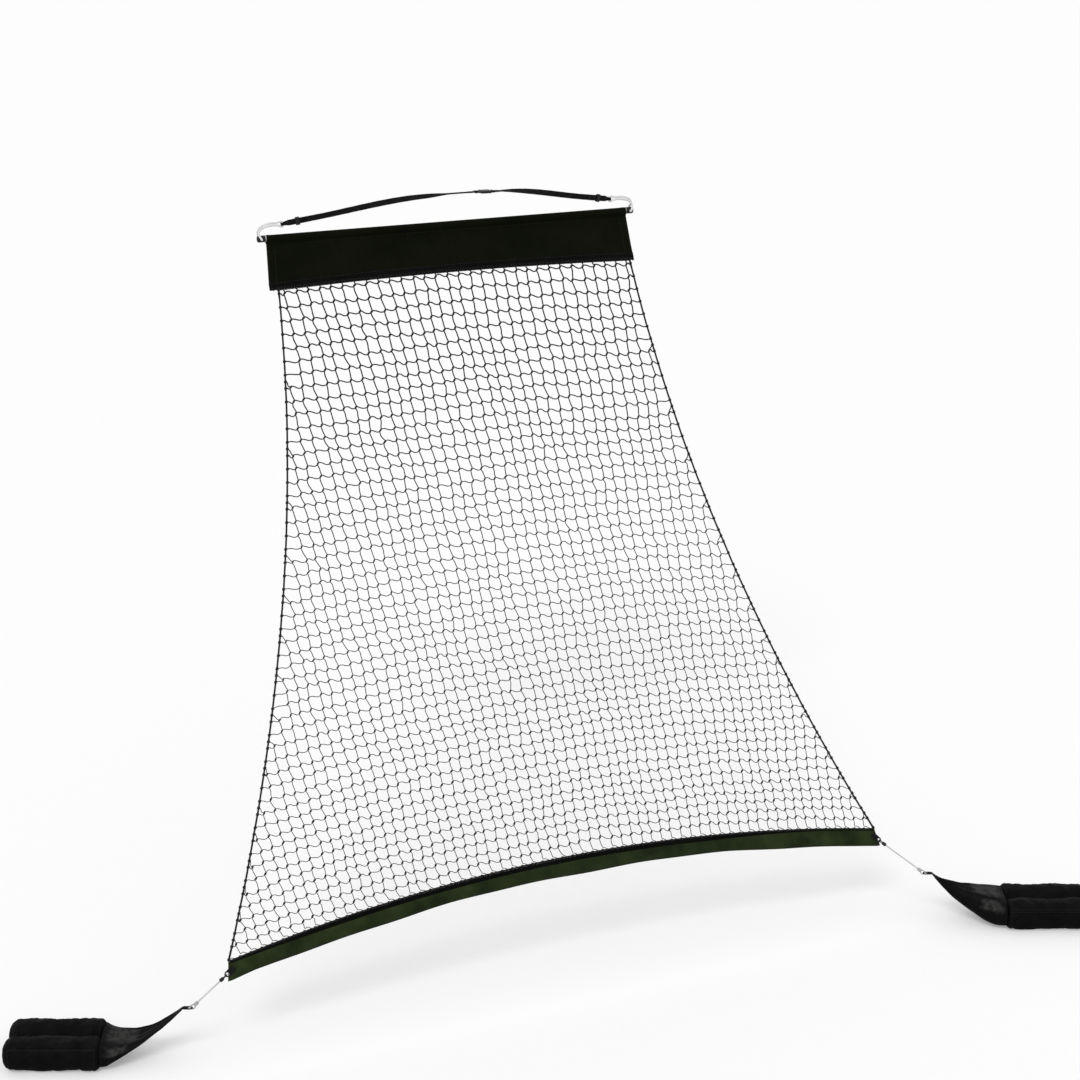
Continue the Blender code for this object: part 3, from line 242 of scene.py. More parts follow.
class Shape:
    """Gathers grids of points, with their flow along and across in metres, into one mesh."""

    def __init__(self):
        self.points = []
        self.faces = []
        self.flow = []
        self.skins = []
        self.total = 0

    def patch(self, faces, flow, skin):
        self.faces.append(faces)
        self.flow.append(np.reshape(flow, (-1, 2)))
        self.skins.append(np.full(len(faces), skin))

    def add(self, points, faces, flow, skin=0):
        self.points.append(np.reshape(points, (-1, 3)))
        self.patch(np.asarray(faces) + self.total, flow, skin)
        self.total += len(self.points[-1])

    def grid(self, rings, along, around, loop=False, caps=True, skin=0):
        """Skins over rings (..., stations, sides, 3); caps close the two ends."""
        rings = np.asarray(rings, float)
        if rings.ndim == 3:
            rings = rings[None]
        batch, n, m = rings.shape[:3]
        i, j, quads = grid_quads(n, m, loop)
        u = np.broadcast_to(np.atleast_2d(along), (batch, n + 1 if loop else n))
        v = np.asarray(around, float)
        corner_u = np.stack([u[:, i], u[:, i], u[:, i + 1], u[:, i + 1]], axis=2)
        corner_v = np.stack([v[j], v[j + 1], v[j + 1], v[j]], axis=1)
        flow = np.stack([corner_u, np.broadcast_to(corner_v, corner_u.shape)], axis=3)
        starts = (np.arange(batch) * n * m)[:, None]
        first = self.total
        self.add(rings, (starts[:, None] + quads).reshape(-1, 4), flow, skin)
        ends = ((0, slice(None, None, -1)), ((n - 1) * m, slice(None)))
        if caps == "sheet":
            j = np.arange(m // 2 - 1)
            strip = np.stack([j, j + 1, m - 2 - j, m - 1 - j], axis=1)
            for base, order in ends:
                self.patch(first + base + strip[:, order], np.zeros((len(strip) * 4, 2)), skin)
        elif caps and not loop:
            for base, order in ends:
                turn = np.arange(m)[order]
                at = u[:, -1:] if base else u[:, :1]
                spot = np.stack(np.broadcast_arrays(at, v[turn]), axis=2)
                self.patch(first + starts + base + turn, spot, skin)

    def tubes(self, paths, radius, sides=6, hint=None, loop=False, skin=0):
        """Round strands along paths (..., stations, 3). The hint is never along a path."""
        paths = np.asarray(paths, float)
        if paths.ndim == 2:
            paths = paths[None]
        if loop:
            ahead = np.roll(paths, -1, axis=1) - np.roll(paths, 1, axis=1)
        else:
            ahead = np.gradient(paths, axis=1)
        ahead = unit(ahead)
        side = carried(ahead[0], loop)[None] if hint is None else unit(np.cross(ahead, hint))
        ring = wheel(side, np.cross(ahead, side), circle(sides))
        radius = np.broadcast_to(radius, paths.shape[:2])[..., None, None]
        run = lengths(np.concatenate([paths, paths[:, :1]], axis=1) if loop else paths)
        around = np.linspace(0, 1, sides + 1)
        self.grid(paths[:, :, None] + ring * radius, run, around, loop=loop, skin=skin)

    def build(self, name, skins, stands_for="", body="hanger", sharp=None):
        """Makes the piece. Names of skins, and of the nodes it stands for, are set apart by spaces."""
        mesh = bpy.data.meshes.new(name)
        points = np.concatenate(self.points)
        mesh.vertices.add(len(points))
        mesh.vertices.foreach_set("co", points.ravel())
        corners = np.concatenate([f.ravel() for f in self.faces]).astype(np.int32)
        sizes = np.concatenate([np.full(len(f), f.shape[1]) for f in self.faces])
        starts = np.concatenate([[0], np.cumsum(sizes)[:-1]]).astype(np.int32)
        mesh.loops.add(len(corners))
        mesh.loops.foreach_set("vertex_index", corners)
        mesh.polygons.add(len(starts))
        mesh.polygons.foreach_set("loop_start", starts)
        skin_index = np.concatenate(self.skins).astype(np.int32)
        mesh.polygons.foreach_set("material_index", skin_index)
        mesh.update(calc_edges=True)
        layer = mesh.uv_layers.new(name="flow")
        layer.uv.foreach_set("vector", np.concatenate(self.flow).astype(np.float32).ravel())
        mesh.validate()
        mesh.shade_smooth()
        if sharp:
            mesh.set_sharp_from_angle(angle=math.radians(sharp))
        for skin in skins.split():
            mesh.materials.append(SKINS[skin])
        made = linked(name, mesh)
        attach(made, body)
        if stands_for:
            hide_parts(*stands_for.split())
        return made


def carried(ahead, loop):
    """Side vectors carried along a path without spin, and unwound where it closes."""
    start = np.cross(ahead[0], UP)
    if np.linalg.norm(start) < 0.1:
        start = np.cross(ahead[0], RIGHT)
    side = [unit(start)]
    for before, here in zip(ahead, ahead[1:]):
        moved = side[-1] + np.cross(np.cross(before, here), side[-1])
        side.append(unit(moved - here * moved.dot(here)))
    side = np.array(side)
    if loop:
        home = unit(side[-1] - ahead[0] * side[-1].dot(ahead[0]))
        off = math.atan2(np.cross(home, side[0]).dot(ahead[0]), home.dot(side[0]))
        turn = (off * np.arange(len(side)) / len(side))[:, None]
        side = side * np.cos(turn) + np.cross(ahead, side) * np.sin(turn)
    return side


# Materials


class Nodes:
    """A node tree whose inputs take numbers, colours or the sockets of other nodes."""

    def __init__(self, tree):
        self.tree = tree

    def feed(self, socket, value):
        if isinstance(value, bpy.types.NodeSocket):
            self.tree.links.new(value, socket)
        else:
            socket.default_value = value

    def node(self, kind, inputs=(), **settings):
        made = self.tree.nodes.new("ShaderNode" + kind)
        for name, value in settings.items():
            setattr(made, name, value)
        for name, value in dict(inputs).items():
            self.feed(made.inputs[name], value)
        return made.outputs

    def math(self, kind, *values):
        return self.node("Math", enumerate(values), operation=kind)[0]

    def times(self, *values):
        return self.math("MULTIPLY", *values)

    def span(self, value, low, high, to_low=0.0, to_high=1.0):
        names = ("Value", "From Min", "From Max", "To Min", "To Max")
        return self.node("MapRange", zip(names, (value, low, high, to_low, to_high)))[0]


class Skin(Nodes):
    """A material whose colour, roughness and relief come from nodes."""

    def __init__(self, name, metal=0.0, specular=0.5):
        self.made = bpy.data.materials.new(name)
        self.made.use_nodes = True
        super().__init__(self.made.node_tree)
        self.shader = self.tree.nodes["Principled BSDF"].inputs
        self.shader["Metallic"].default_value = metal
        self.shader["Specular IOR Level"].default_value = specular
        self.height = None

    def flow(self):
        """Metres along and across a woven piece."""
        return self.node("SeparateXYZ", {0: self.node("UVMap", uv_map="flow")[0]})[:2]

    def place(self):
        return self.node("TexCoord")["Object"]

    def stretched(self, scale):
        return self.node("Mapping", {"Vector": self.place(), "Scale": scale})[0]

    def noise(self, scale, detail=3.0, vector=None):
        inputs = {"Vector": vector or self.place(), "Scale": scale, "Detail": detail}
        return self.node("TexNoise", inputs)["Fac"]

    def blotch(self, scale, detail=4.0, low=0.3, high=0.7, to_low=0.0, to_high=1.0):
        """Noise with its middle range spread from to_low to to_high."""
        return self.span(self.noise(scale, detail), low, high, to_low, to_high)

    def wave(self, value, period):
        """From 0 to 1 and back once in each period."""
        turn = self.times(value, 2 * math.pi / period)
        return self.math("MULTIPLY_ADD", self.math("SINE", turn), 0.5, 0.5)

    def mix(self, share, *tones):
        tones = [t if isinstance(t, bpy.types.NodeSocket) else (*t, 1) for t in tones]
        inputs = {"Factor": share, 6: tones[0], 7: tones[1]}
        return self.node("Mix", inputs, data_type="RGBA")[2]

    def colour(self, value):
        self.feed(self.shader["Base Color"], value)
        return self

    def rough(self, value):
        self.feed(self.shader["Roughness"], value)
        return self

    def relief(self, height, distance, strength):
        inputs = {"Distance": distance, "Strength": strength, "Height": height}
        if self.height is not None:
            inputs["Normal"] = self.height
        self.height = self.node("Bump", inputs)[0]
        self.feed(self.shader["Normal"], self.height)

    def sheen(self, weight):
        self.shader["Sheen Weight"].default_value = weight
        self.shader["Sheen Roughness"].default_value = 0.5
        return self.made


def woven(name, dark, light, thread, specular, rough, sheen, patch=5.0):
    """Plain weave, with slightly uneven colour, dust and worn threads; on the hem the wide mottle is
    painted sheen.
    """
    skin = Skin(name, specular=specular)
    over, under = [skin.wave(way, thread * 2) for way in skin.flow()]
    weave = skin.math("ABSOLUTE", skin.math("SUBTRACT", over, under))
    # Blotchy tone: uneven colouring of the cloth, and on the hem, where it is wide and coarse, painted
    # sheen
    dye_and_sheen = skin.blotch(patch, 5.0, 0.35, to_high=0.75)
    share = skin.math("ADD", dye_and_sheen, skin.span(weave, 0, 1, 0, 0.25))
    skin.colour(skin.mix(share, dark, light))
    skin.rough(skin.blotch(14.0, 3.0, to_low=rough - 0.08, to_high=rough + 0.08))
    skin.relief(skin.noise(38.0, 4.0), 0.0012, 0.35)
    fuzz = skin.times(skin.noise(900.0, 2.0), 0.35)
    skin.relief(skin.math("ADD", weave, fuzz), 0.0002, 0.6)
    return skin.sheen(sheen)


def webbing_skin(name, dark, light):
    """Herringbone webbing with a firm selvedge."""
    skin = Skin(name, specular=0.09)
    along, lap = skin.flow()
    fold = skin.math("PINGPONG", lap, 0.0031)
    rib = skin.wave(skin.math("ADD", along, fold), 0.0019)
    share = skin.times(skin.blotch(22.0), skin.span(rib, 0, 1, 0.5, 1.0))
    skin.colour(skin.mix(share, dark, light))
    skin.rough(skin.span(rib, 0, 1, 0.82, 0.66))
    skin.relief(skin.noise(420.0), 0.0002, 0.4)
    skin.relief(rib, 0.00032, 0.7)
    return skin.made


def braided(name, dark, light, pitch, starts, depth, specular, rough, sheen=0.05):
    """Strands that cross on a round cord: flow runs along in metres and around in shares."""
    skin = Skin(name, specular=specular)
    along, around = skin.flow()
    run = skin.times(along, 1 / pitch)
    lap = skin.times(around, float(starts))
    one, two = [
        skin.math("POWER", skin.wave(skin.math(kind, run, lap), 1.0), 1.5)
        for kind in ("ADD", "SUBTRACT")
    ]
    strand = skin.math("MAXIMUM", one, two)
    share = skin.math("ADD", skin.blotch(30.0, to_high=0.6), skin.span(strand, 0, 1, 0, 0.4))
    skin.colour(skin.mix(share, dark, light))
    skin.rough(skin.span(strand, 0, 1, rough + 0.1, rough - 0.05))
    skin.relief(skin.noise(800.0, 2.0), depth * 0.5, 0.4)
    skin.relief(strand, depth, 0.8)
    return skin.sheen(sheen)


def plastic_skin(name, dark, light):
    skin = Skin(name, specular=0.22)
    skin.colour(skin.mix(skin.blotch(60.0), dark, light))
    skin.rough(skin.blotch(140.0, 3.0, to_low=0.35, to_high=0.52))
    skin.relief(skin.noise(1500.0, 2.0), 0.00008, 0.5)
    return skin.made


def painted_skin(name):
    """Pale paint over tube: soft orange peel and faint draw marks along the tube."""
    skin = Skin(name, metal=0.15)
    marks = skin.noise(60.0, 3.0, skin.stretched((0.05, 1.0, 1.0)))
    skin.colour(skin.mix(skin.span(marks, 0.35, 0.7), (0.60, 0.61, 0.62), (0.72, 0.73, 0.74)))
    skin.rough(skin.blotch(90.0, 3.0, to_low=0.3, to_high=0.44))
    skin.relief(skin.noise(650.0, 2.0), 0.0001, 0.35)
    return skin.made


def metal_skin(name, dark, light):
    skin = Skin(name, metal=1.0)
    grain = skin.noise(500.0, 3.0, skin.stretched((1.0, 1.0, 0.08)))
    skin.colour(skin.mix(skin.blotch(120.0), dark, light))
    skin.rough(skin.span(grain, 0.3, 0.7, 0.24, 0.42))
    skin.relief(grain, 0.00004, 0.5)
    return skin.made


def bag_skin(name, dark, light, rough, gloss, painted_sheen=()):
    """Heavy coated bag cloth: a coarse weave under soft creases. Windows of the flow, along and across,
    get
    painted sheen: a paler, mottled grey that stands in for light caught by the creased coating."""
    skin = Skin(name, specular=gloss)
    ways = ((1.0, 0.25, 0.25), (0.25, 1.0, 1.0))
    weave = skin.times(*[skin.noise(1100.0, 1.0, skin.stretched(way)) for way in ways])
    creases = skin.noise(26.0, 6.0)
    ridge = skin.math("ABSOLUTE", skin.math("SUBTRACT", skin.noise(17.0), 0.5))
    # Painted shade: the cloth is darker in the hollows of the creases and paler on their ridges
    cloth = skin.mix(skin.span(creases, 0.35, 0.75), dark, light)
    if painted_sheen:
        along, lap = skin.flow()
        drift = skin.math("MULTIPLY_ADD", skin.noise(34.0, 4.0), 0.05, -0.025)
        run = skin.math("ADD", along, drift)
        lap = skin.math("MULTIPLY_ADD", drift, 0.5, lap)
        # Painted sheen: a paler, mottled grey laid over the cloth inside each window
        share = 0.0
        for window in painted_sheen:
            here = 1.0
            for value, low, high, soft in ((run, *window[:2], 0.022), (lap, *window[2:], 0.010)):
                here = skin.times(here, skin.span(value, low, low + soft))
                here = skin.times(here, skin.span(value, high, high - soft))
            share = skin.math("MAXIMUM", share, here)
        share = skin.times(share, skin.blotch(48.0, 4.0, 0.35, 0.6, 0.35))
        share = skin.times(share, skin.blotch(420.0, 6.0, 0.35, 0.66, 0.2))
        cloth = skin.mix(share, cloth, (0.058, 0.058, 0.056))
    skin.colour(cloth)
    skin.rough(skin.blotch(11.0, 3.0, to_low=rough - 0.1, to_high=rough + 0.1))
    skin.relief(skin.span(ridge, 0.0, 0.06), 0.0012, 0.35)
    skin.relief(creases, 0.003, 0.4)
    skin.relief(weave, 0.0003, 0.5)
    return skin.made


def grey(level, blue=None):
    return level, level, level if blue is None else blue


SKINS = {
    "webbing": webbing_skin("black_webbing", grey(0.0025, 0.0026), grey(0.0090, 0.0095)),
    "banner": woven(
        "banner_cloth", (0.0016, 0.0021, 0.0005), (0.0040, 0.0050, 0.0014), 0.0008, 0.05, 0.80, 0.01
    ),
    # Near-black tape: real tape on the banner's lower edge; on the hem's top it is painted shade over
    # the rope's tunnel
    "binding": woven(
        "binding_tape_and_shade", grey(0.0012, 0.0011), grey(0.0036, 0.0034), 0.0010, 0.05, 0.82, 0.01
    ),
    # The hem's wide, coarse mottle from dark to pale green is painted sheen: patches of light painted
    # as paler green
    "hem": woven(
        "hem_cloth", (0.0080, 0.0130, 0.0040), (0.0270, 0.0390, 0.0125), 0.0010, 0.07, 0.80, 0.02, 11.0
    ),
    "twine": braided("twine", grey(0.006), grey(0.024, 0.025), 0.0042, 1, 0.0005, 0.18, 0.8),
    "rope": braided("rope", grey(0.004), grey(0.018), 0.0074, 3, 0.0007, 0.18, 0.78),
    "elastic": braided(
        "elastic_cord", (0.66, 0.67, 0.66), (0.84, 0.85, 0.84), 0.0056, 4, 0.0003, 0.3, 0.62, 0.1
    ),
    "tether": braided(
        "tether_cord", (0.42, 0.43, 0.43), (0.66, 0.67, 0.67), 0.0046, 3, 0.0003, 0.3, 0.62, 0.1
    ),
    "thread": Skin("black_thread", specular=0.3).colour((*grey(0.022), 1)).rough(0.6).made,
    "plastic": plastic_skin("moulded_plastic", grey(0.005, 0.0055), grey(0.012, 0.013)),
    "sleeve": plastic_skin("pale_sleeve", (0.34, 0.35, 0.35), (0.46, 0.47, 0.47)),
    "tube": painted_skin("painted_tube"),
    "steel": metal_skin("plated_steel", grey(0.50, 0.48), grey(0.68, 0.66)),
    "grommet": metal_skin("dark_grommet", grey(0.05), grey(0.12)),
    "bag": bag_skin("bag_cloth", grey(0.0010, 0.0011), grey(0.0030, 0.0032), 0.72, 0.07),
    # The neck's cloth, with painted sheen in two windows near the rolls
    "neck": bag_skin(
        "neck_cloth", grey(0.0010, 0.0011), grey(0.0034, 0.0036), 0.70, 0.08,
        painted_sheen=((0.175, 0.312, 0.058, 0.112), (0.205, 0.308, 0.004, 0.050)),
    ),
}


# The camera, the floor and the light

FLOOR_HALF = 150
WHITE = (1, 1, 1, 1)


def make_stage():
    data = bpy.data.cameras.new("camera")
    data.lens = 80.13
    data.sensor_width = 36
    data.clip_end = 400
    camera = linked("camera", data)
    camera.location = (-3.195, -9.637, 2.085)
    camera.rotation_euler = (math.pi / 2 - 0.346, 0, -0.353)
    scene = bpy.context.scene
    scene.camera = camera
    scene.view_settings.view_transform = "Standard"

    mesh = bpy.data.meshes.new("floor")
    corners = [(FLOOR_HALF * x, FLOOR_HALF * y, 0) for x, y in ((-1, -1), (1, -1), (1, 1), (-1, 1))]
    mesh.from_pydata(corners, [], [(0, 1, 2, 3)])
    floor = linked("floor", mesh)
    floor.location.z = GROUND - 0.0005
    pale = Skin("pale_floor", specular=0.0).colour((0.80, 0.80, 0.80, 1)).rough(0.9)
    seen = pale.times(pale.node("LightPath")["Is Camera Ray"], 0.24)
    pale.feed(pale.shader["Emission Color"], WHITE)
    pale.feed(pale.shader["Emission Strength"], seen)
    mesh.materials.append(pale.made)

    world = bpy.data.worlds.new("studio")
    scene.world = world
    world.use_nodes = True
    nodes = Nodes(world.node_tree)
    back = nodes.tree.nodes["Background"].inputs
    path = nodes.node("LightPath")
    level = path["Is Camera Ray"]
    for other in ("Is Glossy Ray", "Is Transmission Ray"):
        level = nodes.math("MAXIMUM", level, path[other])
    nodes.feed(back["Color"], WHITE)
    nodes.feed(back["Strength"], nodes.span(level, 0.0, 1.0, 0.66, 1.0))

    lamp = bpy.data.lights.new("key", "SUN")
    lamp.energy = 1.15
    lamp.angle = math.radians(22)
    linked("key", lamp).rotation_euler = [math.radians(turn) for turn in (38, -20, -14)]


# The net's surface

BAR = np.array([0, BAR_BACK, -BAR_DROP])
NET_TOP = BAR - BANNER_LEAN * BACK - BANNER_BOTTOM * UP
HANG = unit(NET_TOP - BAR)
REAR = np.cross(RIGHT, HANG)
FALL = np.array([0, -NET_REACH, -NET_DROP])
FALL_LENGTH = float(np.linalg.norm(FALL))
DOWNWAY = unit(FALL)
NORMAL = unit(np.cross(FALL, RIGHT))
HEM_END = HEM_HALF + ROPE_RADIUS
HEM_WAY = RIGHT + HEM_SLOPE * BACK
HEM_NORMAL = unit(np.cross(FALL, HEM_WAY))
HEM_ROPE_BELOW = TWINE_HALF + TOUCH + HEM_ROPE_RADIUS
BAND_TOP = HEM_ROPE_BELOW + HEM_ROPE_RADIUS + TOUCH
HEM_MIDDLE = BAND_TOP + HEM_HEIGHT / 2


def half_width(v):
    return NET_HALF + (HEM_HALF - NET_HALF) * v - SIDE_BOW * 4 * v * (1 - v)


def net_place(x, v):
    x, v = np.broadcast_arrays(np.asarray(x, float), np.asarray(v, float))
    rise = HEM_ARCH * v**2 + BANNER_ARCH * (1 - v) ** 2
    arch = rise * (1 - (x / half_width(v)) ** 2)
    sag = NET_SAG * 4 * v * (1 - v)
    back = x * v * HEM_SLOPE
    return laid(NET_TOP, (x, RIGHT), (v, FALL), (back, BACK), (-arch, DOWNWAY), (-sag, NORMAL))


def hem_place(x, below):
    x, below = np.broadcast_arrays(np.asarray(x, float), np.asarray(below, float))
    inside = np.clip(x, -HEM_HALF, HEM_HALF)
    return laid(net_place(inside, 1.0), (x - inside, HEM_WAY), (below, DOWNWAY))


# Cloth, bands and stitches

GATHERED = 0.50
GATHER_REACH = 0.032
THREAD_RADIUS = 0.00042
THREAD_RISE = 0.00035
THREAD_GAP = 0.28
BOX_PITCH = 0.0027


def thick_sheet(shape, middle, half, along, run, facing=None):
    """Cloth of half thickness on both sides of its middle. Gives back its normals."""
    normal = unit(np.cross(np.gradient(middle, axis=1), np.gradient(middle, axis=0)))
    if facing is not None and np.mean(normal @ facing) < 0:
        normal = -normal
    off = normal * half[..., None]
    rings = np.concatenate([middle + off, (middle - off)[:, ::-1]], axis=1)
    shape.grid(rings, along - along[0], np.concatenate([run, run[::-1], run[:1]]), caps="sheet")
    return normal


def band(shape, path, wide, eye):
    """Webbing along a path, its width along the wide vectors, gathered towards its eye."""
    w, t = WEB_WIDTH / 2, WEB_THICKNESS / 2
    c = WEB_THICKNESS * 0.35
    upper = [(a, t) for a in np.linspace(-w + c, w - c, 5)]
    edge = [(w - c * 0.3, t * 0.72), (w, 0), (w - c * 0.3, -t * 0.72)]
    ring = np.array(upper + edge)
    ring = np.vstack([ring, -ring])
    ahead = unit(np.gradient(path, axis=0))
    wide = unit(wide - ahead * np.sum(wide * ahead, axis=1, keepdims=True))
    thick = np.cross(ahead, wide)
    run = lengths(path)
    near_eye = ease(1 - np.linalg.norm(path - eye, axis=1) / GATHER_REACH)
    sway = (1 + 0.012 * np.sin(run * 95) - (1 - GATHERED) * near_eye)[:, None, None]
    rings = (
        path[:, None]
        + wide[:, None] * (ring[None, :, :1] * sway)
        + thick[:, None] * ring[None, :, 1:]
    )
    shape.grid(rings, run, np.append(ring[:, 0], ring[0, 0]) + w)


def seam(shape, path, out, pitch, lift=0.0, skin=1):
    """A row of stitches along a path lifted outwards, each a short thread that bulges out."""
    path = path + out * lift
    run = lengths(path)
    edges = np.linspace(0, run[-1], max(1, int(run[-1] / pitch)) + 1)
    begin = edges[:-1] + pitch * THREAD_GAP / 2
    finish = edges[1:] - pitch * THREAD_GAP / 2
    out = np.broadcast_to(out, path.shape)
    out = unit(sampled((begin + finish) / 2, run, out))[:, None]
    bulge = np.array([-0.8, 0.7, 1.0, 0.7, -0.8])[:, None] * THREAD_RISE
    share = np.array([0, 0.2, 0.5, 0.8, 1.0])
    paths = between(sampled(begin, run, path), sampled(finish, run, path), share) + out * bulge
    shape.tubes(paths, THREAD_RADIUS, sides=5, hint=out, skin=skin)


def both_faces(shape, path, out, *rest, **more):
    for face in (1, -1):
        seam(shape, path, out * face, *rest, **more)


def box_stitch(shape, centre, along, side, out, long, wide, lift):
    """A sewn box with a cross in it on one face of a strap."""
    def spot(a, b):
        return centre + along * a * long / 2 + side * b * wide / 2 + out * lift

    corners = [(-1, -1), (1, -1), (1, 1), (-1, 1), (-1, -1), (1, 1)]
    for a, b in [*zip(corners, corners[1:]), ((1, -1), (-1, 1))]:
        seam(shape, np.linspace(spot(*a), spot(*b), 5), out, BOX_PITCH)


# Webbing, its right half: seat, end of the flat part, start of the folded tail, and eye

SEAT = np.array([SEAT_HALF, 0, WEB_THICKNESS / 2])
BUCKLED = SEAT + (0.125, 0.010, -0.006)
EYE = np.array([BAR_HALF - EYE_INSET + TOUCH, BAR_BACK, BUNGEE_RISE - BAR_DROP])
TAIL = EYE - (0.137, 0.038, -0.026)
FIRST = unit(BUCKLED - SEAT)
LAST = unit(EYE - TAIL)
PULL = np.linalg.norm(TAIL - BUCKLED)
BOW_SHARE = np.linspace(0, 1, 60)[1:-1]
BOW = hermite(BUCKLED, FIRST * PULL, TAIL, LAST * PULL, BOW_SHARE[:, None])
FLAT_SIDE = across(FIRST)
FLAT_UP = np.cross(FIRST, FLAT_SIDE)
EYE_AXIS = np.cross(LAST, across(LAST))
FACING = np.cross(LAST, EYE_AXIS)
LAYER = WEB_THICKNESS / 2 + 0.0001
STITCH_LIFT = WEB_THICKNESS + 0.0001
LEFT_EARLY = 0.45
# Sewn boxes on the folded end: distance from the eye, length and width
SEWN = ((0.0222, 0.006, 0.012), (0.1165, 0.013, 0.017))


def folded_end(hub, away, thick, reach, ring):
    """Points of a strap that turns round a bar: its short layer, the turn and its long layer."""
    turn = np.radians(np.linspace(-118, 118, 13))
    arc = [(-math.cos(a) * ring, math.sin(a) * ring) for a in turn]
    out = [(reach, -LAYER), (reach * 0.75, -LAYER), (reach * 0.5, -LAYER)]
    out += [(ring * 3.2, -LAYER * 1.1), (ring * 1.7, -ring * 0.52)]
    knots = out + arc + [(a, -b) for a, b in out[::-1]]
    return [hub + away * a + thick * b for a, b in knots]


def half_route(start):
    """Knots from the near end to the tail's tip, out along the right."""
    ring = BUNGEE_RADIUS + BUNGEE_SLIP + WEB_THICKNESS / 2
    loop = folded_end(EYE, -LAST, -FACING, TAIL_LENGTH, ring)[::-1]
    return [*start, BUCKLED, *BOW[::3], TAIL, *loop]


def width_at(path, early):
    """The width's direction along a path on the right: flat at the seat, turned by early of a
    quarter where the bow starts, and upright from the tail on."""
    line = np.vstack([SEAT, BUCKLED, BOW, TAIL, EYE])
    twist = np.concatenate([[0, early], 1 - (1 - early) * (1 - BOW_SHARE) ** 2.2, [1, 1]])
    ahead = unit(np.gradient(line, axis=0))
    found = []
    for p in path:
        k = int(np.argmin(np.sum((line - p) ** 2, axis=1)))
        if p[0] >= TAIL[0]:
            k = len(line) - 1
        turn = twist[k]
        if p[0] <= BUCKLED[0]:
            k = 0
            turn = early * ease((p[0] - SEAT[0]) / (BUCKLED[0] - SEAT[0]))
        side = across(ahead[k])
        turn = turn * math.pi / 2
        found.append(side * math.cos(turn) + np.cross(ahead[k], side) * math.sin(turn))
    found = np.pad(found, ((4, 4), (0, 0)), mode="edge")
    return unit(np.stack([np.convolve(c, np.ones(9) / 9, mode="valid") for c in found.T], axis=1))


def make_web(side, sign, path, early, boxes):
    """One strap along its path, with boxes sewn on its folded end and at the buckle."""
    shape = Shape()
    band(shape, path, mirror(width_at(mirror(path, sign), early), sign), mirror(EYE, sign))
    for face in (-1, 1):
        for at, long, wide in SEWN:
            ways = [mirror(way, sign) for way in (EYE - LAST * at, LAST, EYE_AXIS, FACING * face)]
            box_stitch(shape, *ways, long, wide, STITCH_LIFT)
    for box in boxes:
        box_stitch(shape, *box)
    shape.build("web_" + side, "webbing thread", "strap_" + side)


def make_straps():
    bar_ring = BUCKLE_BAR_RADIUS + SLIP + WEB_THICKNESS / 2

    # Right: from the housing's bar out to its eye
    hub = SEAT + FIRST * HOUSING_BAR_AT
    near_end = folded_end(hub, FIRST, -FLAT_UP, 0.032, bar_ring)[:-1]
    boxes = [
        (hub + FIRST * 0.021, FIRST, FLAT_SIDE, FLAT_UP * face, 0.015, 0.017, STITCH_LIFT)
        for face in (1, -1)
    ]
    make_web("right", 1, route(half_route(near_end), 300), 0.0, boxes)

    # Left: from the tongue's bar over the seat, then out to its eye
    hub = SEAT + FIRST * TONGUE_BAR_AT
    over = folded_end(hub, -FIRST, FLAT_UP, 0.034, bar_ring)
    lifted = [p + UP * WEB_THICKNESS * 0.5 for p in over[:4]]
    rest = [SEAT, (0.02, 0, 0.0011), (-0.02, 0, 0.0011)]
    path = route([*lifted, *over[4:-4], *rest, *mirror(half_route([SEAT]), -1)], 360)
    # The stitches at the tongue lie on the short layer, which falls away towards the seat
    upper = path[: np.argmax(path[:, 0])]
    near, far = [upper[np.argmin(np.abs(upper[:, 0] - hub[0] + back))] for back in (0.013, 0.027)]
    falls = unit(near - far)
    box = ((near + far) / 2, falls, FLAT_SIDE, unit(np.cross(falls, FLAT_SIDE)), 0.013, 0.017, LAYER)
    make_web("left", -1, path, LEFT_EARLY, [box])


# Elastic loops

BUNGEE_SHARES = (
    (0.000, 0.000, 0.00, 1.00, 0.00),
    (0.000, 0.220, 0.70, 0.85, 0.05),
    (-0.010, 0.480, 1.00, 0.15, 0.30),
    (0.080, 0.780, 0.80, 0.00, 0.55),
    (0.300, 0.970, 0.35, 0.00, 0.85),
    (0.560, 1.030, 0.00, 0.00, 1.00),
    (0.760, 1.020, 0.00, 0.10, 1.00),
    (0.880, 1.010, 0.00, 0.62, 1.00),
    (0.950, 1.000, 0.00, 1.00, 1.00),
)


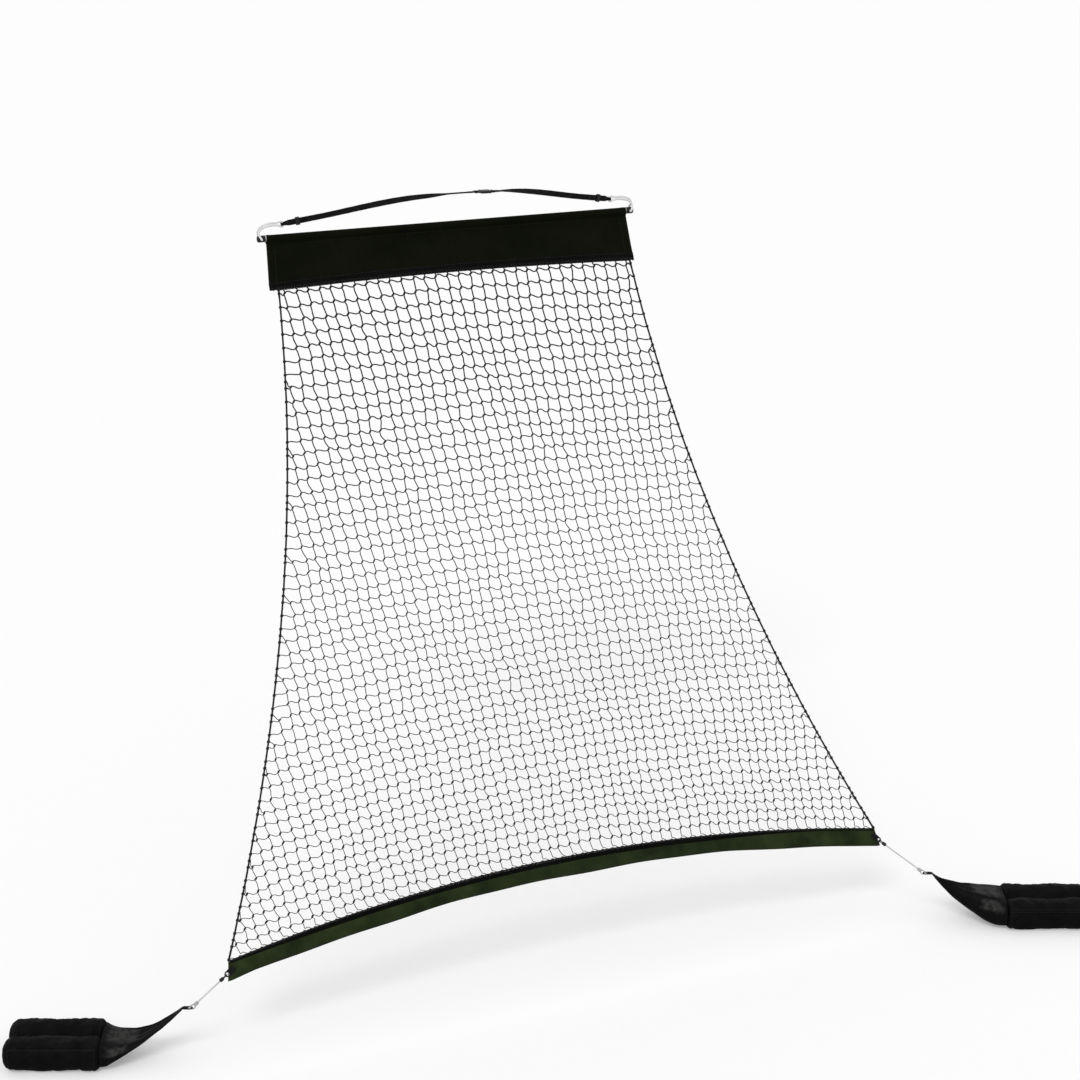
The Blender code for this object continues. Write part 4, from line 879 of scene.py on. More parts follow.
def make_bungees():
    hole = np.array([BAR_HALF + TOUCH + CAP_LENGTH / 2, BAR_BACK, -BAR_DROP])
    span = hole[0] - EYE[0]
    close = BUNGEE_RADIUS + BUNGEE_SLIP
    eye_half = WEB_WIDTH * GATHERED / 2 + BUNGEE_RADIUS * 1.2
    up_strand, down_strand = [], []
    for along, rise, bulge, spread, turn in BUNGEE_SHARES:
        wide = CAP_RADIUS + close if turn < 0.5 else eye_half
        turn = turn * math.pi / 2
        offset = (BACK * math.cos(turn) + EYE_AXIS * math.sin(turn)) * (close + (wide - close) * spread)
        middle = hole + (BUNGEE_BULGE * bulge - span * along, 0, BUNGEE_RISE * rise)
        up_strand.append(middle + offset)
        down_strand.append(middle - offset)
    out = EYE_AXIS * (eye_half - BUNGEE_RADIUS * 0.6)
    inside_eye = [EYE + out * k for k in (1, 0.5, 0, -0.5, -1)]
    inside_cap = [hole + BACK * CAP_RADIUS * k for k in (-1, 0, 1)]
    knots = up_strand + inside_eye + down_strand[::-1] + inside_cap
    for side, sign in SIDES:
        shape = Shape()
        path = route(mirror(knots, sign), 260, loop=True)
        shape.tubes(path, BUNGEE_RADIUS, sides=16, loop=True)
        shape.build("elastic_" + side, "elastic", "bungee_" + side)


# Banner

DRAWN_OUT = 0.018
LAYERS_APART = 0.00085
TUNNEL_AT = POCKET_BORE - TUBE_RADIUS - TOUCH
SEAM_AT = TUNNEL_AT + POCKET_BORE + FABRIC / 2 + POCKET_TAIL * 0.55


def banner_section(x, count=150):
    """The folded cloth behind and below the bar: each point's distances back and down the cloth,
    from the front layer's lower edge over the bar to the rear one's."""
    ring = POCKET_BORE + FABRIC / 2
    foot = net_place(np.clip(x, -BANNER_HALF, BANNER_HALF), 0.0)
    low = foot + DOWNWAY * (HEAD_BELOW - 0.0030) - BAR
    bottom = low.dot(HANG)
    downs = np.linspace(bottom, SEAM_AT, 9)
    lean = low.dot(REAR) * ((downs - SEAM_AT) / (bottom - SEAM_AT)) ** 2
    front, rear = [np.stack([0 * lean, lean + LAYERS_APART * k, downs], axis=1) for k in (-1, 1)]
    turn = np.radians(np.linspace(242, -62, 19))
    arc = np.stack([0 * turn, np.cos(turn) * ring, TUNNEL_AT - np.sin(turn) * ring], axis=1)
    return route(np.vstack([front, arc, rear[::-1]]), count)[:, 1:]


def banner_fold(x, down):
    """How far soft folds push both layers back at a place on the banner."""
    drop = np.clip((down - SEAM_AT) / 0.16, 0, 1)
    held = np.minimum(1, (1 - drop) / 0.14 + 0.2)
    fold = np.sin(x * 17 + 0.8 * np.sin(x * 7)) * 0.5 + np.sin(x * 39 + 1.3) * 0.22
    pucker = np.sin(x * 2 * np.pi / 0.034 + 3 * np.sin(x * 13))
    near_seam = np.exp(-(((down - SEAM_AT) / 0.012) ** 2))
    return 0.0030 * fold * ease(drop * 1.4) * held + 0.0006 * pucker * near_seam


def banner_world(x, back, down):
    """The left end is drawn out a little towards its lower corner."""
    drawn = DRAWN_OUT * np.minimum(0, x / BANNER_HALF) * np.clip(down / BANNER_BOTTOM, 0, 1)
    return laid(BAR, (x + drawn, RIGHT), (back, REAR), (down, HANG))


def make_banner():
    stations = np.linspace(-BANNER_HALF, BANNER_HALF, 240)
    flat = np.array([banner_section(x) for x in stations])
    n, m = flat.shape[:2]
    back, down = flat[..., 0], flat[..., 1]
    x = np.broadcast_to(stations[:, None], (n, m))
    middle = banner_world(x, back + banner_fold(x, down), down)
    inset = BANNER_HALF - np.abs(x)
    half = 0.00055 + 0.00075 * ease(1 - (inset - 0.019) / 0.003)
    half = half * (0.6 + 0.4 * ease(inset / 0.001))
    run = lengths(middle[n // 2])
    shape = Shape()
    normal = thick_sheet(shape, middle, half, stations, run)
    outside = normal * np.sign(np.sum((middle - BAR) * normal, axis=2).mean())

    # Rows of stitches: two along the tunnel's seam and two up each side hem, on both faces
    seam_index = int(np.argmin(np.abs(down[n // 2, : m // 2] - SEAM_AT)))
    for face in (0, 1):
        for k in (seam_index, seam_index - 2):
            k = m - 1 - k if face else k
            seam(shape, middle[:, k], outside[:, k], 0.0052, 0.0009)
        rows = slice(m - seam_index, m - 1) if face else slice(1, seam_index)
        for row in (1, 5, n - 6, n - 2):
            seam(shape, middle[row, rows], outside[row, rows], 0.0048, 0.0015)
    cloth = shape.build("banner", "banner thread", "banner_pocket banner_skirt")

    # The tape that binds the lower edge to the net, with the net's lashing round it
    tape = Shape()
    xs = np.linspace(-BANNER_HALF - 0.001, BANNER_HALF + 0.001, 240)
    outer = [(0.0330, 0.0019), (0.0320, 0.0026), (0.0170, 0.0027), (0.0010, 0.0026), (-0.0012, 0.0013)]
    foot = np.array([banner_section(px)[0] for px in xs]) + (LAYERS_APART, 0)

    def on_tape(up, out):
        down = foot[:, 1] - up
        return banner_world(xs, foot[:, 0] + banner_fold(xs, down) - out, down)

    ring = [on_tape(*spot) for spot in outer + [(up, -out) for up, out in outer[::-1]]]
    around = [0, 0.001, 0.015, 0.031, 0.034, 0.037, 0.040, 0.056, 0.071, 0.072, 0.074]
    tape.grid(np.stack(ring, axis=1), xs - xs[0], around, caps="sheet")
    for face in (1, -1):
        for up in (0.0290, 0.0050):
            seam(tape, on_tape(up, face * 0.0029), -REAR * face, 0.0052)
    spin = np.radians(np.linspace(-70, 250, 12))
    places = np.arange(-BANNER_HALF + 0.012, BANNER_HALF - 0.008, 0.0135)
    places = places + DICE.normal(0, 0.0013, len(places))
    at = sampled(places, xs, foot)
    reach = 0.0052 + DICE.normal(0, 0.0005, len(places))
    loops = banner_world(
        places[:, None] + 0.004 * np.sin(spin),
        at[:, :1] + banner_fold(places, at[:, 1])[:, None] + 0.0046 * np.cos(spin),
        at[:, 1:] - 0.0034 + reach[:, None] * np.sin(spin) * 1.5,
    )
    tape.tubes(loops, 0.0013, sides=5, hint=RIGHT, skin=2)
    tape.build("banner_tape", "binding thread twine", sharp=40)


# Netting

LEG_AT = KNOT_HALF * 0.8
TWINE_TURNS = np.linspace(0, 2 * np.pi * 2.5, 22)
TWINE_CLIMB = TWINE_TURNS / TWINE_TURNS[-1] - 0.5


def row_shares():
    """How far down the net each row of knots lies: half a mesh at first, then pitches that
    shrink towards the hem."""
    downs = np.concatenate([[0], np.cumsum(np.linspace(ROW_TOP, ROW_HEM, ROW_COUNT - 1))])
    rows = FIRST_ROW + downs * (FALL_LENGTH - FIRST_ROW) / downs[-1]
    return np.concatenate([[0], rows]) / FALL_LENGTH


def knot_grid():
    """Knots by row and column, the inner ones shifted a little from their even places."""
    shares = row_shares()
    rows = []
    for i, v in enumerate(shares):
        pitch = COLUMN_TOP + (COLUMN_HEM - COLUMN_TOP) * v
        last = int((half_width(v) - ROPE_RADIUS - 0.014) / pitch)
        columns = np.arange(-last, last + 1)
        x = columns * pitch
        free = 1.0 if 0 < i < ROW_COUNT else 0.0
        if i == 1:
            free = 0.6
        jitter = DICE.normal(0, 1, (2, len(columns))) * 0.0023
        seat = np.stack([x, np.full_like(x, v * FALL_LENGTH), np.zeros_like(x)], axis=1)
        drift_x = wobble(seat, 3.4, 1) * 0.012
        drift_v = wobble(seat, 4.1, 2) * 0.012
        at_x = x + (jitter[0] + drift_x) * free
        at_v = v + (jitter[1] + drift_v) * free / FALL_LENGTH
        depth = (jitter[0] * 0.5 + drift_v * 0.3) * free
        rows.append(dict(zip(columns, laid(net_place(at_x, at_v), (depth, NORMAL)))))
    return shares, rows


def weight(at, near_hem):
    """How thick the twine is drawn at shares of the fall: heavier near the banner."""
    return 1 + HEAVIER * ease(1 - at / 0.55) + near_hem * ease((at - 0.5) / 0.4)


def make_netting():
    shares, rows = knot_grid()
    lean = unit(0.62 * RIGHT - 0.78 * DOWNWAY)
    legs, knots, knot_at, wraps = [], [], [], []

    def to_rope(begin, sign, at, droop, v):
        """A leg out to the side rope, where the twine goes round it."""
        edge = net_place(sign * half_width(at), at)
        legs.append((begin, edge - RIGHT * sign * ROPE_RADIUS * 0.9, droop, v))
        wraps.append((edge, sign, at))

    # Each leg: its two ends, how far it droops, and its row's share
    for i, row in enumerate(rows):
        columns = sorted(row)
        v = shares[i]
        if i == 0:
            for c in set(columns) & set(rows[1]):
                legs.append((row[c] + DOWNWAY * HEAD_BELOW, rows[1][c] + lean * LEG_AT, 0.0, v))
            continue
        for a, b in zip(columns, columns[1:]):
            legs.append((row[a] + lean * LEG_AT, row[b] - lean * LEG_AT, 1.0, v))
        for end, sign in ((columns[0], -1), (columns[-1], 1)):
            to_rope(row[end] + lean * LEG_AT * sign, sign, v, 0.6, v)
        if i + 1 < len(rows):
            below = rows[i + 1]
            for c in columns:
                if c in below:
                    legs.append((row[c] - lean * LEG_AT, below[c] + lean * LEG_AT, 0.0, v))
            for c in sorted(set(columns) ^ set(below)):
                # A column that starts or stops at the slanting rope
                here = row[c] if c in row else below[c]
                to_rope(here, 1 if c > 0 else -1, (shares[i] + shares[i + 1]) / 2, 0.2, v)
        if 0 < i < ROW_COUNT:
            knots.extend(row[c] for c in columns)
            knot_at += [v] * len(columns)
    start, finish, droop, leg_at = [np.array(column) for column in zip(*legs)]
    knots, knot_at = np.array(knots), np.array(knot_at)
    heavy = weight(leg_at, -HEM_TWINE_LIGHTER)
    knot_heavy = weight(knot_at, HEM_KNOTS_HEAVIER)
    share = np.linspace(0, 1, 7)
    bow = 4 * share * (1 - share)
    cast = DICE.normal(0, 1, (3, len(start), 1))
    droop = droop[:, None]
    curl = -0.0024 * np.minimum(1, droop * 1.4 + 0.2) + cast[0] * 0.0007
    sideways = np.cross(unit(finish - start), NORMAL)[:, None]
    paths = laid(
        between(start, finish, share),
        (cast[0] * 0.0017 * bow + curl * np.sin(2 * np.pi * share), sideways),
        ((droop * 0.0026 + cast[1] * 0.0014) * bow, DOWNWAY),
        (cast[2] * 0.0018 * bow, NORMAL),
    )
    net = Shape()
    net.tubes(paths, STRAND * heavy[:, None], sides=5, hint=NORMAL)

    # Knots: a long lapped turn along the lean, crossed by a tight one
    share = np.array([-1, -0.72, -0.2, 0.3, 0.75, 1])
    thick = np.array([0.45, 0.95, 1.1, 1.05, 0.9, 0.45]) * KNOT_THICK
    way = wheel(lean, np.cross(NORMAL, lean), DICE.normal(0, 0.16, len(knots)))[:, None]
    paths = knots[:, None] + way * (share * KNOT_HALF)[:, None]
    net.tubes(paths, thick * knot_heavy[:, None], sides=6, hint=NORMAL)
    arc = np.radians(np.linspace(-95, 95, 5))
    crossed = np.cross(NORMAL, way[:, 0]) * 0.0028 + way[:, 0] * 0.0012
    paths = knots[:, None] + wheel(NORMAL * 0.0026, crossed, arc)
    net.tubes(paths, STRAND * 0.95 * knot_heavy[:, None], sides=5, hint=way)

    # Turns of twine round the side ropes where the rows end
    loops, outs = [], []
    for edge, sign, v in wraps:
        along_rope = unit(net_place(sign * half_width(v + 0.004), v + 0.004) - edge)
        outs.append(wheel(unit(np.cross(NORMAL, along_rope)), NORMAL, TWINE_TURNS))
        reach = ROPE_RADIUS + STRAND * 0.75
        loops.append(laid(edge + outs[-1] * reach, (TWINE_CLIMB * 0.0085, along_rope)))
    loops = np.array(loops)
    net.tubes(loops, STRAND * 0.9, sides=5, hint=unit(loops - loops.mean(axis=1, keepdims=True)))

    # The head strand along the banner, and turns round the hem's rope at each column
    xs = np.linspace(-NET_HALF + 0.002, NET_HALF - 0.002, 240)
    net.tubes(net_place(xs, 0.0) + DOWNWAY * HEAD_BELOW, 0.0018, sides=6, hint=NORMAL)
    hub = hem_place([p[0] for p in rows[-1].values()], HEM_ROPE_BELOW)
    out = wheel(-DOWNWAY, HEM_NORMAL, TWINE_TURNS)
    turns = laid(out * (HEM_ROPE_RADIUS + STRAND * 0.8), (TWINE_CLIMB * 0.0075, HEM_WAY))
    net.tubes(hub[:, None] + turns, STRAND * 0.9, sides=5, hint=out)
    net.build("netting", "twine", "net")


def make_ropes():
    v = np.linspace(0, 1, 260)
    for side, sign in SIDES:
        path = net_place(sign * half_width(v), v)
        path[0] -= UP * (ROPE_RADIUS - TWINE_HALF)
        path[-1] -= unit(path[-1] - path[-2]) * ROPE_RADIUS / 2
        sway = wobble(path, 9.0, sign) * 0.0012 * np.minimum(1, np.minimum(v, 1 - v) * 20)
        path = laid(path, (sway, RIGHT))
        shape = Shape()
        shape.tubes(path, ROPE_RADIUS, sides=12, hint=NORMAL)
        # Whipped ends
        spin = np.linspace(0, 2 * np.pi * 9, 150)
        for a, b in ((path[0], path[4]), (path[-6], path[-1])):
            around = wheel(unit(np.cross(NORMAL, b - a)), NORMAL, spin)
            core = between(a, b, spin / spin[-1])
            shape.tubes(core + around * (ROPE_RADIUS + 0.0004), 0.0009, sides=5, hint=around)
        shape.build("side_rope_" + side, "rope", "edge_rope_" + side)
    xs = np.linspace(-HEM_END, HEM_END, 320)
    shape = Shape()
    shape.tubes(hem_place(xs, HEM_ROPE_BELOW), HEM_ROPE_RADIUS, sides=12, hint=HEM_NORMAL)
    shape.build("lower_rope", "rope", "hem_rope")


# Hem

HEM_PITCH = 0.0058


def hem_fold(xs):
    fold = 0.55 * np.sin(xs * 15.5 + 0.8) + 0.35 * np.sin(xs * 33 + 2.1) + 0.2 * np.sin(xs * 61)
    return 0.0042 * fold


def hem_surface(xs, downs):
    """The hem cloth's middle, with ripples that grow towards its lower edge."""
    xs, downs = np.meshgrid(xs, downs, indexing="ij")
    share = (downs - BAND_TOP) / HEM_HEIGHT
    ends = np.minimum(1, (HEM_END - np.abs(xs)) / 0.10)
    edge = 0.0030 * np.sin(xs * 6.3 + 1.0) + 0.0016 * np.sin(xs * 14.7)
    drawn = 0.012 * np.sign(xs) * share * ease((np.abs(xs) - HEM_HALF + 0.12) / 0.12)
    place = hem_place(xs + drawn, downs + edge * share**2 * ends)
    return laid(place, (hem_fold(xs) * share * ends, HEM_NORMAL)), share


def make_hem():
    xs = np.linspace(-HEM_END, HEM_END, 420)
    shares = np.array([0, 0.04, 0.12, 0.25, 0.4, 0.55, 0.7, 0.82, 0.92, 0.97, 1])
    downs = BAND_TOP + HEM_HEIGHT * shares
    middle, share = hem_surface(xs, downs)
    lower = 0.0006 * np.exp(-(((share - 1) / 0.10) ** 2))
    half = 0.0011 + lower + 0.0004 * np.exp(-((share / 0.12) ** 2))
    half = half * np.where((share > 0.999) | (share < 0.001), 0.45, 1.0)
    shape = Shape()
    normal = thick_sheet(shape, middle, half, xs, downs - downs[0], facing=HEM_NORMAL)
    for at in (0.90, 0.955):
        line, _ = hem_surface(xs, BAND_TOP + HEM_HEIGHT * at)
        both_faces(shape, line[:, 0], normal[:, 8], HEM_PITCH, 0.0020)
    for sign in (-1, 1):
        for inset in (0.010, 0.024):
            line, _ = hem_surface(sign * (HEM_END - inset), downs)
            both_faces(shape, line[0, 1:-1], HEM_NORMAL, 0.005, 0.0019)
    cloth = shape.build("hem_cloth", "hem thread", "hem_band")

    # Black band over the top edge, deeper in the middle than at the ends: it stands for the hem's
    # tunnel round its rope, and its black and its changing depth are painted shade.
    tape = Shape()
    reach = 0.004 + 0.0135 * ease((HEM_HALF - np.abs(xs + 0.18)) / 0.7)
    front, rear = [], []
    for depth, lift in ((1.0, 0.0019), (0.7, 0.0026), (0.35, 0.0026), (0.0, 0.0022)):
        place = hem_place(xs, BAND_TOP - 0.0002 + reach * depth)
        place = laid(place, (hem_fold(xs) * reach * depth / HEM_HEIGHT, HEM_NORMAL))
        front.append(place + HEM_NORMAL * lift)
        rear.append(place - HEM_NORMAL * lift)
    ring = np.stack(front + rear[::-1], axis=1)
    tape.grid(ring, xs - xs[0], np.linspace(0, 0.05, 9), caps="sheet")
    line = hem_place(xs, BAND_TOP + reach * 0.6)
    both_faces(tape, line, HEM_NORMAL, HEM_PITCH, 0.0028, skin=0)
    tape.build("hem_tunnel_shade", "binding thread")


# Corner tabs and tethers


def bag_tip(sign):
    out = NET_TOP[1] - NET_REACH - TETHER_FORWARD
    return np.array([sign * BAG_TIP_OUT, out, GROUND + BAG_TIP_HEIGHT])


def hem_eyelet(sign):
    edge = hem_place(sign * HEM_END, HEM_MIDDLE)
    corner = edge + HEM_NORMAL * (HEM_THICKNESS / 2 + TOUCH + TAB_THICKNESS / 2)
    away = bag_tip(sign) - corner
    way = unit(away - HEM_NORMAL * away.dot(HEM_NORMAL))
    return corner + way * HEM_TAB_OUT, way


def ring_centre(eyelet, way, normal):
    """Where a ring through an eyelet comes to rest when it is pulled along a way."""
    flat = unit(way - normal * way.dot(normal))
    reach = EYE_RADIUS - EYE_WIRE - TOUCH
    half = TAB_THICKNESS / 2
    corners = [
        eyelet + flat * out + normal * rise
        for out in (TAB_EYELET, TAB_EYELET + TAB_LIP)
        for rise in (-half, half)
    ]
    centre = sum(corners) / 4 + way * reach
    for _ in range(80):
        for corner in corners:
            away = centre - corner
            if np.linalg.norm(away) > reach:
                centre = corner + unit(away) * reach
    return centre


def tether_ends(sign):
    eyelet, _ = hem_eyelet(sign)
    tip = bag_tip(sign)
    way = unit(tip - eyelet)
    for _ in range(5):
        top = ring_centre(eyelet, way, HEM_NORMAL)
        foot = ring_centre(tip, -way, UP)
        way = unit(foot - top)
    reach = EYE_RADIUS - EYE_WIRE / 3 + BARREL_LENGTH + TOUCH
    return top + way * reach, foot - way * reach


def make_tab(name, origin, outward, normal, length, body, node):
    """A webbing tab with a rounded end, a plated eyelet and a sewn foot."""
    side = np.cross(normal, outward)
    half, thick = TAB_WIDTH / 2, TAB_THICKNESS / 2
    middle = half - TAB_EYELET - TAB_LIP
    outer = length - TAB_EYELET - TAB_LIP
    count = 40
    turn = circle(count)
    outline = []
    for x, y in zip(np.cos(turn), np.sin(turn)):
        scale = 1 / half
        if x >= 0:
            scale = max(abs(x) / (outer - middle), abs(y) / half)
        outline.append((middle + x / scale, y / scale))
    hole = np.stack([np.cos(turn), np.sin(turn)], axis=1) * TAB_EYELET
    lower = [(1.0, -0.6), (0.97, -1.0), (0.5, -1.0), (0.0, -1.0)]
    rings = []
    for share, z in lower + [(share, -z) for share, z in lower[::-1]]:
        flat = hole + (outline - hole) * share
        rings.append(laid(origin, (flat[:, 0], outward), (flat[:, 1], side)) + normal * z * thick)
    shape = Shape()
    run = [0, 0.001, 0.004, 0.008, 0.010, 0.014, 0.017, 0.019, 0.020]
    shape.grid(rings, run, np.linspace(0, 0.08, count + 1), loop=True)
    foot = origin + outward * (outer - 0.012)
    for face in (-1, 1):
        box_stitch(shape, foot, outward, side, normal * face, 0.016, 0.017, thick + 0.0001)
    # Eyelet: a rolled ring on both faces with a barrel through the hole
    rolled = ((0.0030, 0), (0.0024, 0.0007), (0.0010, 0.0008), (-0.0001, 0.0002))
    profile = [(r, thick + z) for r, z in rolled]
    profile += [(-0.0003, 0)] + [(r, -z) for r, z in profile[::-1]]
    rings = []
    for r, z in profile:
        ring = wheel(outward, side, turn) * (TAB_EYELET + r)
        rings.append(origin + ring + normal * z)
    run = np.linspace(0, 0.01, len(rings))
    shape.grid(rings, run, np.linspace(0, 0.04, count + 1), caps=False, skin=2)
    shape.build(name, "webbing thread grommet", node, body=body, sharp=50)


def make_corners():
    for side, sign in SIDES:
        eyelet, way = hem_eyelet(sign)
        tab = ("corner_tab_" + side, eyelet, -way, HEM_NORMAL, HEM_TAB_LENGTH, "hanger")
        make_tab(*tab, "hem_tab_" + side)
        start, end = tether_ends(sign)
        path = start + (end - start) * np.linspace(0, 1, 40)[:, None]
        shape = Shape()
        shape.tubes(path, TETHER_RADIUS, sides=12)
        cord = shape.build("tether_cord_" + side, "tether", "tether_" + side)


# Weight bags

FAR_FILLET = 0.040
SWELL_MOST = 0.007
VOXEL = 0.006
CLOTH_STEPS = 20
SEWN_HALF = 0.004
SEAM_RISE = 0.0006
ROLL_LONGER = 0.010
ROLL_SEWN_AT = 0.6
SEAM_LAP = 0.010
ROLL_PITCH = 0.006
NECK_START = BAG_TAB_LENGTH - TAB_EYELET - TAB_LIP + TOUCH
# By share of the neck's length: half its width, and its lower and upper edges above the tip
NECK_SHAPES = {
    "left": (
        (0.00, 0.013, -0.0032, 0.0016),
        (0.08, 0.019, -0.028, -0.022),
        (0.22, 0.032, -0.067, -0.059),
        (0.40, 0.051, -0.110, -0.100),
        (0.58, 0.073, -0.147, -0.126),
        (0.74, 0.092, -0.179, -0.133),
        (0.86, 0.107, -0.203, -0.131),
        (0.95, 0.115, -0.219, -0.119),
        (1.00, 0.119, -0.220, -0.108),
    ),
    "right": (
        (0.00, 0.013, -0.0032, 0.0016),
        (0.08, 0.022, -0.034, -0.021),
        (0.22, 0.039, -0.082, -0.043),
        (0.40, 0.061, -0.130, -0.062),
        (0.58, 0.083, -0.171, -0.077),
        (0.74, 0.100, -0.205, -0.086),
        (0.86, 0.112, -0.218, -0.091),
        (0.95, 0.117, -0.220, -0.096),
        (1.00, 0.119, -0.220, -0.099),
    ),
}


def bag_axes(side):
    """The bag's own ways, as rows: out along it, across it and up."""
    heading = math.radians(BAG_TURNS[side])
    way = np.array([math.cos(heading), math.sin(heading), 0])
    return np.array([way, np.cross(UP, way), UP])


def bag_world(side, sign, points):
    return bag_tip(sign) + points @ bag_axes(side)


def neck_ring(side, share, turns):
    """Local points of the gathered neck at one share of its length."""
    wide, low, high = [
        np.interp(share, *route([(row[0], row[k], 0) for row in NECK_SHAPES[side]], 200).T[:2])
        for k in (1, 2, 3)
    ]
    y, z = squarer(turns, 3)
    # Pleats run from the gathered tip and open towards the rolls
    deep = (high - low) * 0.5
    pleat = np.sin(y * 13 + 1.4 * math.sin(share * 5)) * 0.6 + np.sin(y * 29 + 2.0) * 0.4
    fade = ease(share / 0.15) * ease((1.02 - share) / 0.25)
    pleat = np.where(z > 0, 1, 0.5) * pleat * 0.0040 * fade * np.minimum(1, deep / 0.006)
    x = np.full_like(y, NECK_START + NECK_LENGTH * share)
    return np.stack([x, wide * y, (low + high) / 2 + deep * z + pleat], axis=1)


def make_neck(side, sign):
    shares = np.linspace(0, 1, 64)
    local = np.array([neck_ring(side, s, circle(96)) for s in shares])
    rough = wobble(local, 24.0, 4 + sign) * 0.0022
    fade = ease(shares / 0.1) * ease((1.0 - shares) / 0.08)
    height = local[..., 2]
    height += rough * fade[:, None] * (height > -BAG_TIP_HEIGHT + 0.006)
    local[..., 2] = np.maximum(height, -BAG_TIP_HEIGHT + 0.0004)
    around = np.linspace(0, 0.3, 97)
    if sign > 0:
        around = 0.15 - around
    shape = Shape()
    shape.grid(bag_world(side, sign, local), shares * NECK_LENGTH, around)
    made = shape.build("neck_" + side, "neck", "bag_neck_" + side, body="bag_" + side)


def taken(piece):
    """A piece's mesh as its modifiers leave it."""
    graph = bpy.context.evaluated_depsgraph_get()
    return bpy.data.meshes.new_from_object(piece.evaluated_get(graph))


def spots(mesh):
    flat = np.empty(len(mesh.vertices) * 3)
    mesh.vertices.foreach_get("co", flat)
    return flat.reshape(-1, 3)


def filled(rings, sewn):
    """Cloth over a closed form, evenly meshed, blown up by its filling and held at its seams."""
    scene = bpy.context.scene
    n, m = rings.shape[:2]
    faces = grid_quads(n, m)[2].tolist()
    faces += [list(range(m))[::-1], list(range((n - 1) * m, n * m))]
    mesh = bpy.data.meshes.new("filling")
    mesh.from_pydata(rings.reshape(-1, 3).tolist(), [], faces)
    pillow = linked("filling", mesh)
    even = pillow.modifiers.new("even", "REMESH")
    even.mode = "VOXEL"
    even.voxel_size = VOXEL
    mesh = taken(pillow)
    pillow.modifiers.clear()
    pillow.data = mesh
    start = spots(mesh)
    held = pillow.vertex_groups.new(name="sewn")
    held.add(np.flatnonzero(sewn(start)).tolist(), 1.0, "REPLACE")
    cloth = pillow.modifiers.new("cloth", "CLOTH")
    recipe = {
        "quality": 4, "mass": 0.3, "vertex_group_mass": "sewn", "use_pressure": True,
        "uniform_pressure_force": 4, "shrink_min": -0.03, "bending_stiffness": 0.2,
    }
    for name, value in recipe.items():
        setattr(cloth.settings, name, value)
    cloth.settings.effector_weights.gravity = 0
    cloth.collision_settings.use_collision = False
    for step in range(1, CLOTH_STEPS + 1):
        scene.frame_set(step)
    moved = spots(taken(pillow)) - start
    far = np.linalg.norm(moved, axis=1, keepdims=True)
    moved = moved * np.minimum(1, SWELL_MOST / np.maximum(far, 1e-9))
    mesh.vertices.foreach_set("co", (start + moved).ravel())
    pillow.modifiers.clear()
    scene.frame_set(1)
    pillow.modifiers.new("finer", "SUBSURF").levels = 1
    mesh = taken(pillow)
    bpy.data.objects.remove(pillow)
    corners = np.empty(len(mesh.loops), int)
    mesh.loops.foreach_get("vertex_index", corners)
    return spots(mesh), corners.reshape(-1, 4)


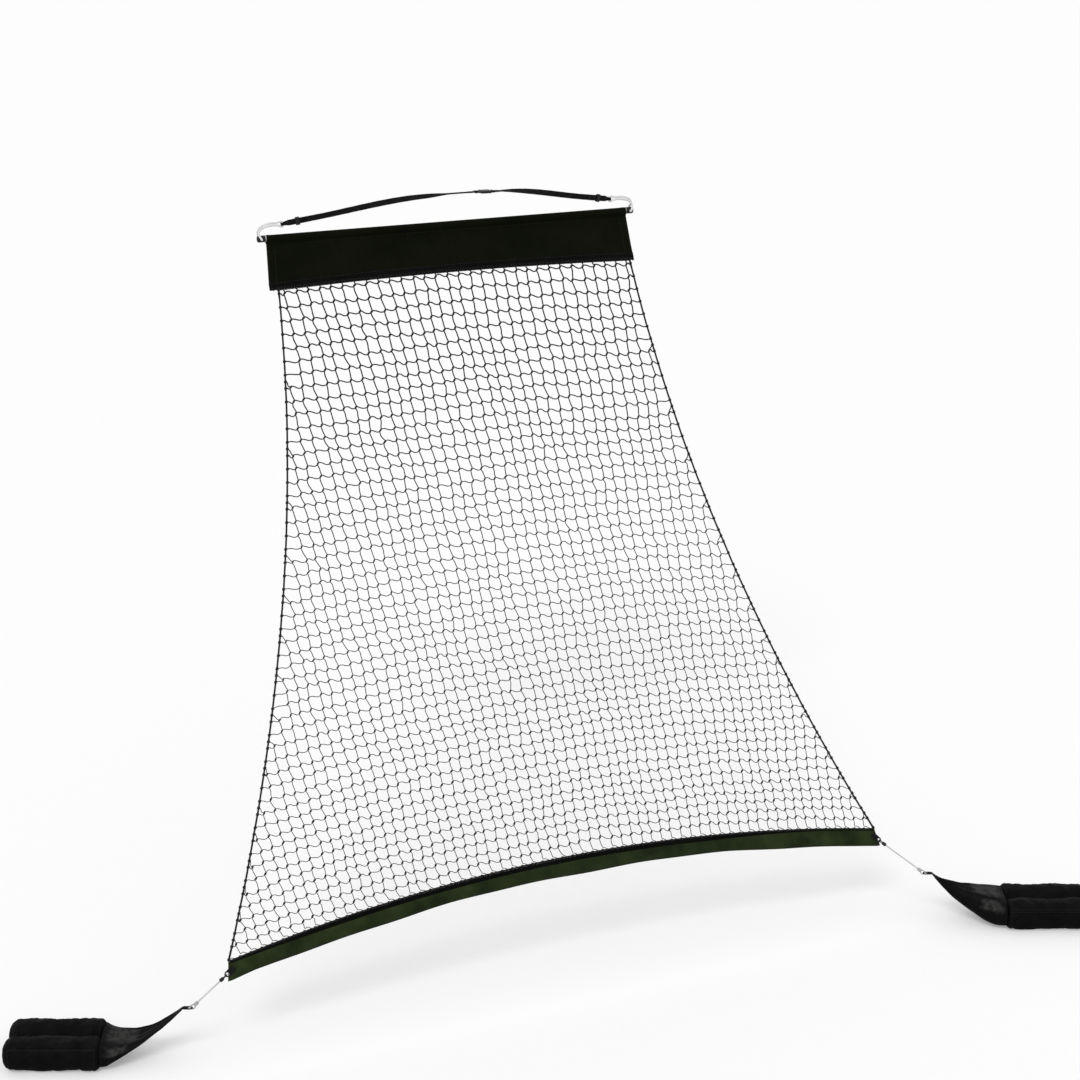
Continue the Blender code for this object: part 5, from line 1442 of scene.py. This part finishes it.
def make_roll(side, sign, label, hand):
    """A sand-filled roll that sags on the ground, with a seam and stitches."""
    start = NECK_START + TOUCH + NECK_LENGTH
    seed = sign * 3 + hand
    long = ROLL_LENGTH + ROLL_LONGER
    ends = (ROLL_FILLET * ROLL_SEWN_AT, long - FAR_FILLET * ROLL_SEWN_AT)
    stations = np.concatenate(
        [
            ROLL_FILLET * (1 - np.sin(np.linspace(math.pi / 2, 0, 9))),
            np.linspace(ROLL_FILLET, long - FAR_FILLET, 52)[1:-1],
            long - FAR_FILLET * (1 - np.sin(np.linspace(0, math.pi / 2, 12))),
        ]
    )
    count = 72
    y, z = squarer(circle(count), 2.6)
    rings = []
    for x in stations:
        fillet = ROLL_FILLET if x < long / 2 else FAR_FILLET
        edge = min(x, long - x)
        inset = 0 if edge >= fillet else 1 - math.sqrt(max(0.0, 1 - (1 - edge / fillet) ** 2))
        radius = ROLL_RADIUS - fillet * inset - 0.0035 - 0.0015 * math.sin(x * 31 + seed)
        rings.append(np.stack([np.full(count, x), y * radius, z * radius], axis=1))
    seam_turn = math.radians(41 if hand > 0 else 139)

    def sewn(points):
        turn = np.arctan2(points[:, 2], points[:, 1])
        held = np.abs(turn - seam_turn) * ROLL_RADIUS < SEWN_HALF
        for end in ends:
            held |= np.abs(points[:, 0] - end) < SEWN_HALF
        return held

    local, faces = filled(np.array(rings), sewn)
    lumps = wobble(local + 5.0 * seed, 17.0, 3) * 0.0028
    crease = -np.abs(wobble(local * (2.2, 1, 1) + 3.0 * seed, 26.0, 6)) * 0.0020
    local = laid(local, (lumps + crease, unit(local * (0, 1, 1))))
    local[:, 0] = np.clip(local[:, 0], 0.0004, long)

    def settled(points):
        """The roll's own place beside its twin, flattened where it lies on the ground."""
        out = hand * (ROLL_RADIUS + TOUCH / 2)
        points = points + (start, out, ROLL_RADIUS - ROLL_SETTLE - BAG_TIP_HEIGHT)
        points[..., 1] = hand * np.maximum(hand * points[..., 1], 0.0006)
        height = np.clip(points[..., 2] + BAG_TIP_HEIGHT, 0.0003, 2 * ROLL_RADIUS)
        points[..., 2] = height - BAG_TIP_HEIGHT
        return points

    local = settled(local)
    shape = Shape()
    shape.add(bag_world(side, sign, local), faces, np.zeros((len(faces), 4, 2)))
    skin = BVHTree.FromPolygons(local.tolist(), faces.tolist())

    def on_skin(x, turn, shift=(0, 0, 0)):
        """Where seams lie on the swollen cloth, and the outward way there."""
        round_it = (np.cos(turn) * ROLL_RADIUS, np.sin(turn) * ROLL_RADIUS)
        points = np.stack(np.broadcast_arrays(x, *round_it), axis=-1) - shift
        found = [skin.find_nearest(Vector(p)) for p in settled(points)]
        out = unit(np.array([f[1] for f in found]))
        place = np.array([f[0] for f in found]) + out * SEAM_RISE
        return bag_world(side, sign, place), out @ bag_axes(side)

    # A lengthwise felled seam with its piping high on the outer side, and the end seams
    run = np.linspace(*ends, 90)
    felled = seam_turn + SEAM_LAP / ROLL_RADIUS
    for turn in (seam_turn, felled):
        seam(shape, *on_skin(run, turn), ROLL_PITCH)
    place, out = on_skin(run, felled, (0, 0.0025, 0.0025))
    shape.tubes(place, 0.0014, sides=8, hint=out)
    for x in ends:
        seam(shape, *on_skin(x, np.linspace(0, 2 * np.pi, 97)), 0.0055)
    node = f"bag_roll_{label}_{side}"
    made = shape.build(f"roll_{label}_{side}", "bag thread", node, body="bag_" + side)


def make_bags():
    for side, sign in SIDES:
        tab = ("tip_tab_" + side, bag_tip(sign), bag_axes(side)[0], UP, BAG_TAB_LENGTH)
        make_tab(*tab, "bag_" + side, "bag_tab_" + side)
        make_neck(side, sign)
        make_roll(side, sign, "front", -sign)
        make_roll(side, sign, "rear", sign)


# Rigid parts keep their solids and get their finish

FINISHES = {
    "crossbar": "tube", "snap": "steel", "button": "steel", "end": "plastic", "buckle": "plastic",
    "strap_slider": "plastic", "tether_top": "plastic", "tether_foot": "sleeve",
}


def dress_solids():
    for name, node in NODES.items():
        for start, skin in FINISHES.items():
            if name.startswith(start):
                for used in node.material_slots:
                    used.material = SKINS[skin]


def make_springs():
    """The V springs in the bar, each copied onto a mesh of its own. In the bar they close under its
    wall as their buttons go in.
    """
    for side, _ in SIDES:
        node = NODES["button_spring_" + side]
        made = linked("spring_" + side, node.data.copy())
        made.matrix_world = node.matrix_world.copy()
        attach(made, "hanger")
        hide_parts(node.name)
        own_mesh(made)


make_stage()
dress_solids()
make_springs()
make_straps()
make_bungees()
make_banner()
make_netting()
make_ropes()
make_hem()
make_corners()
make_bags()
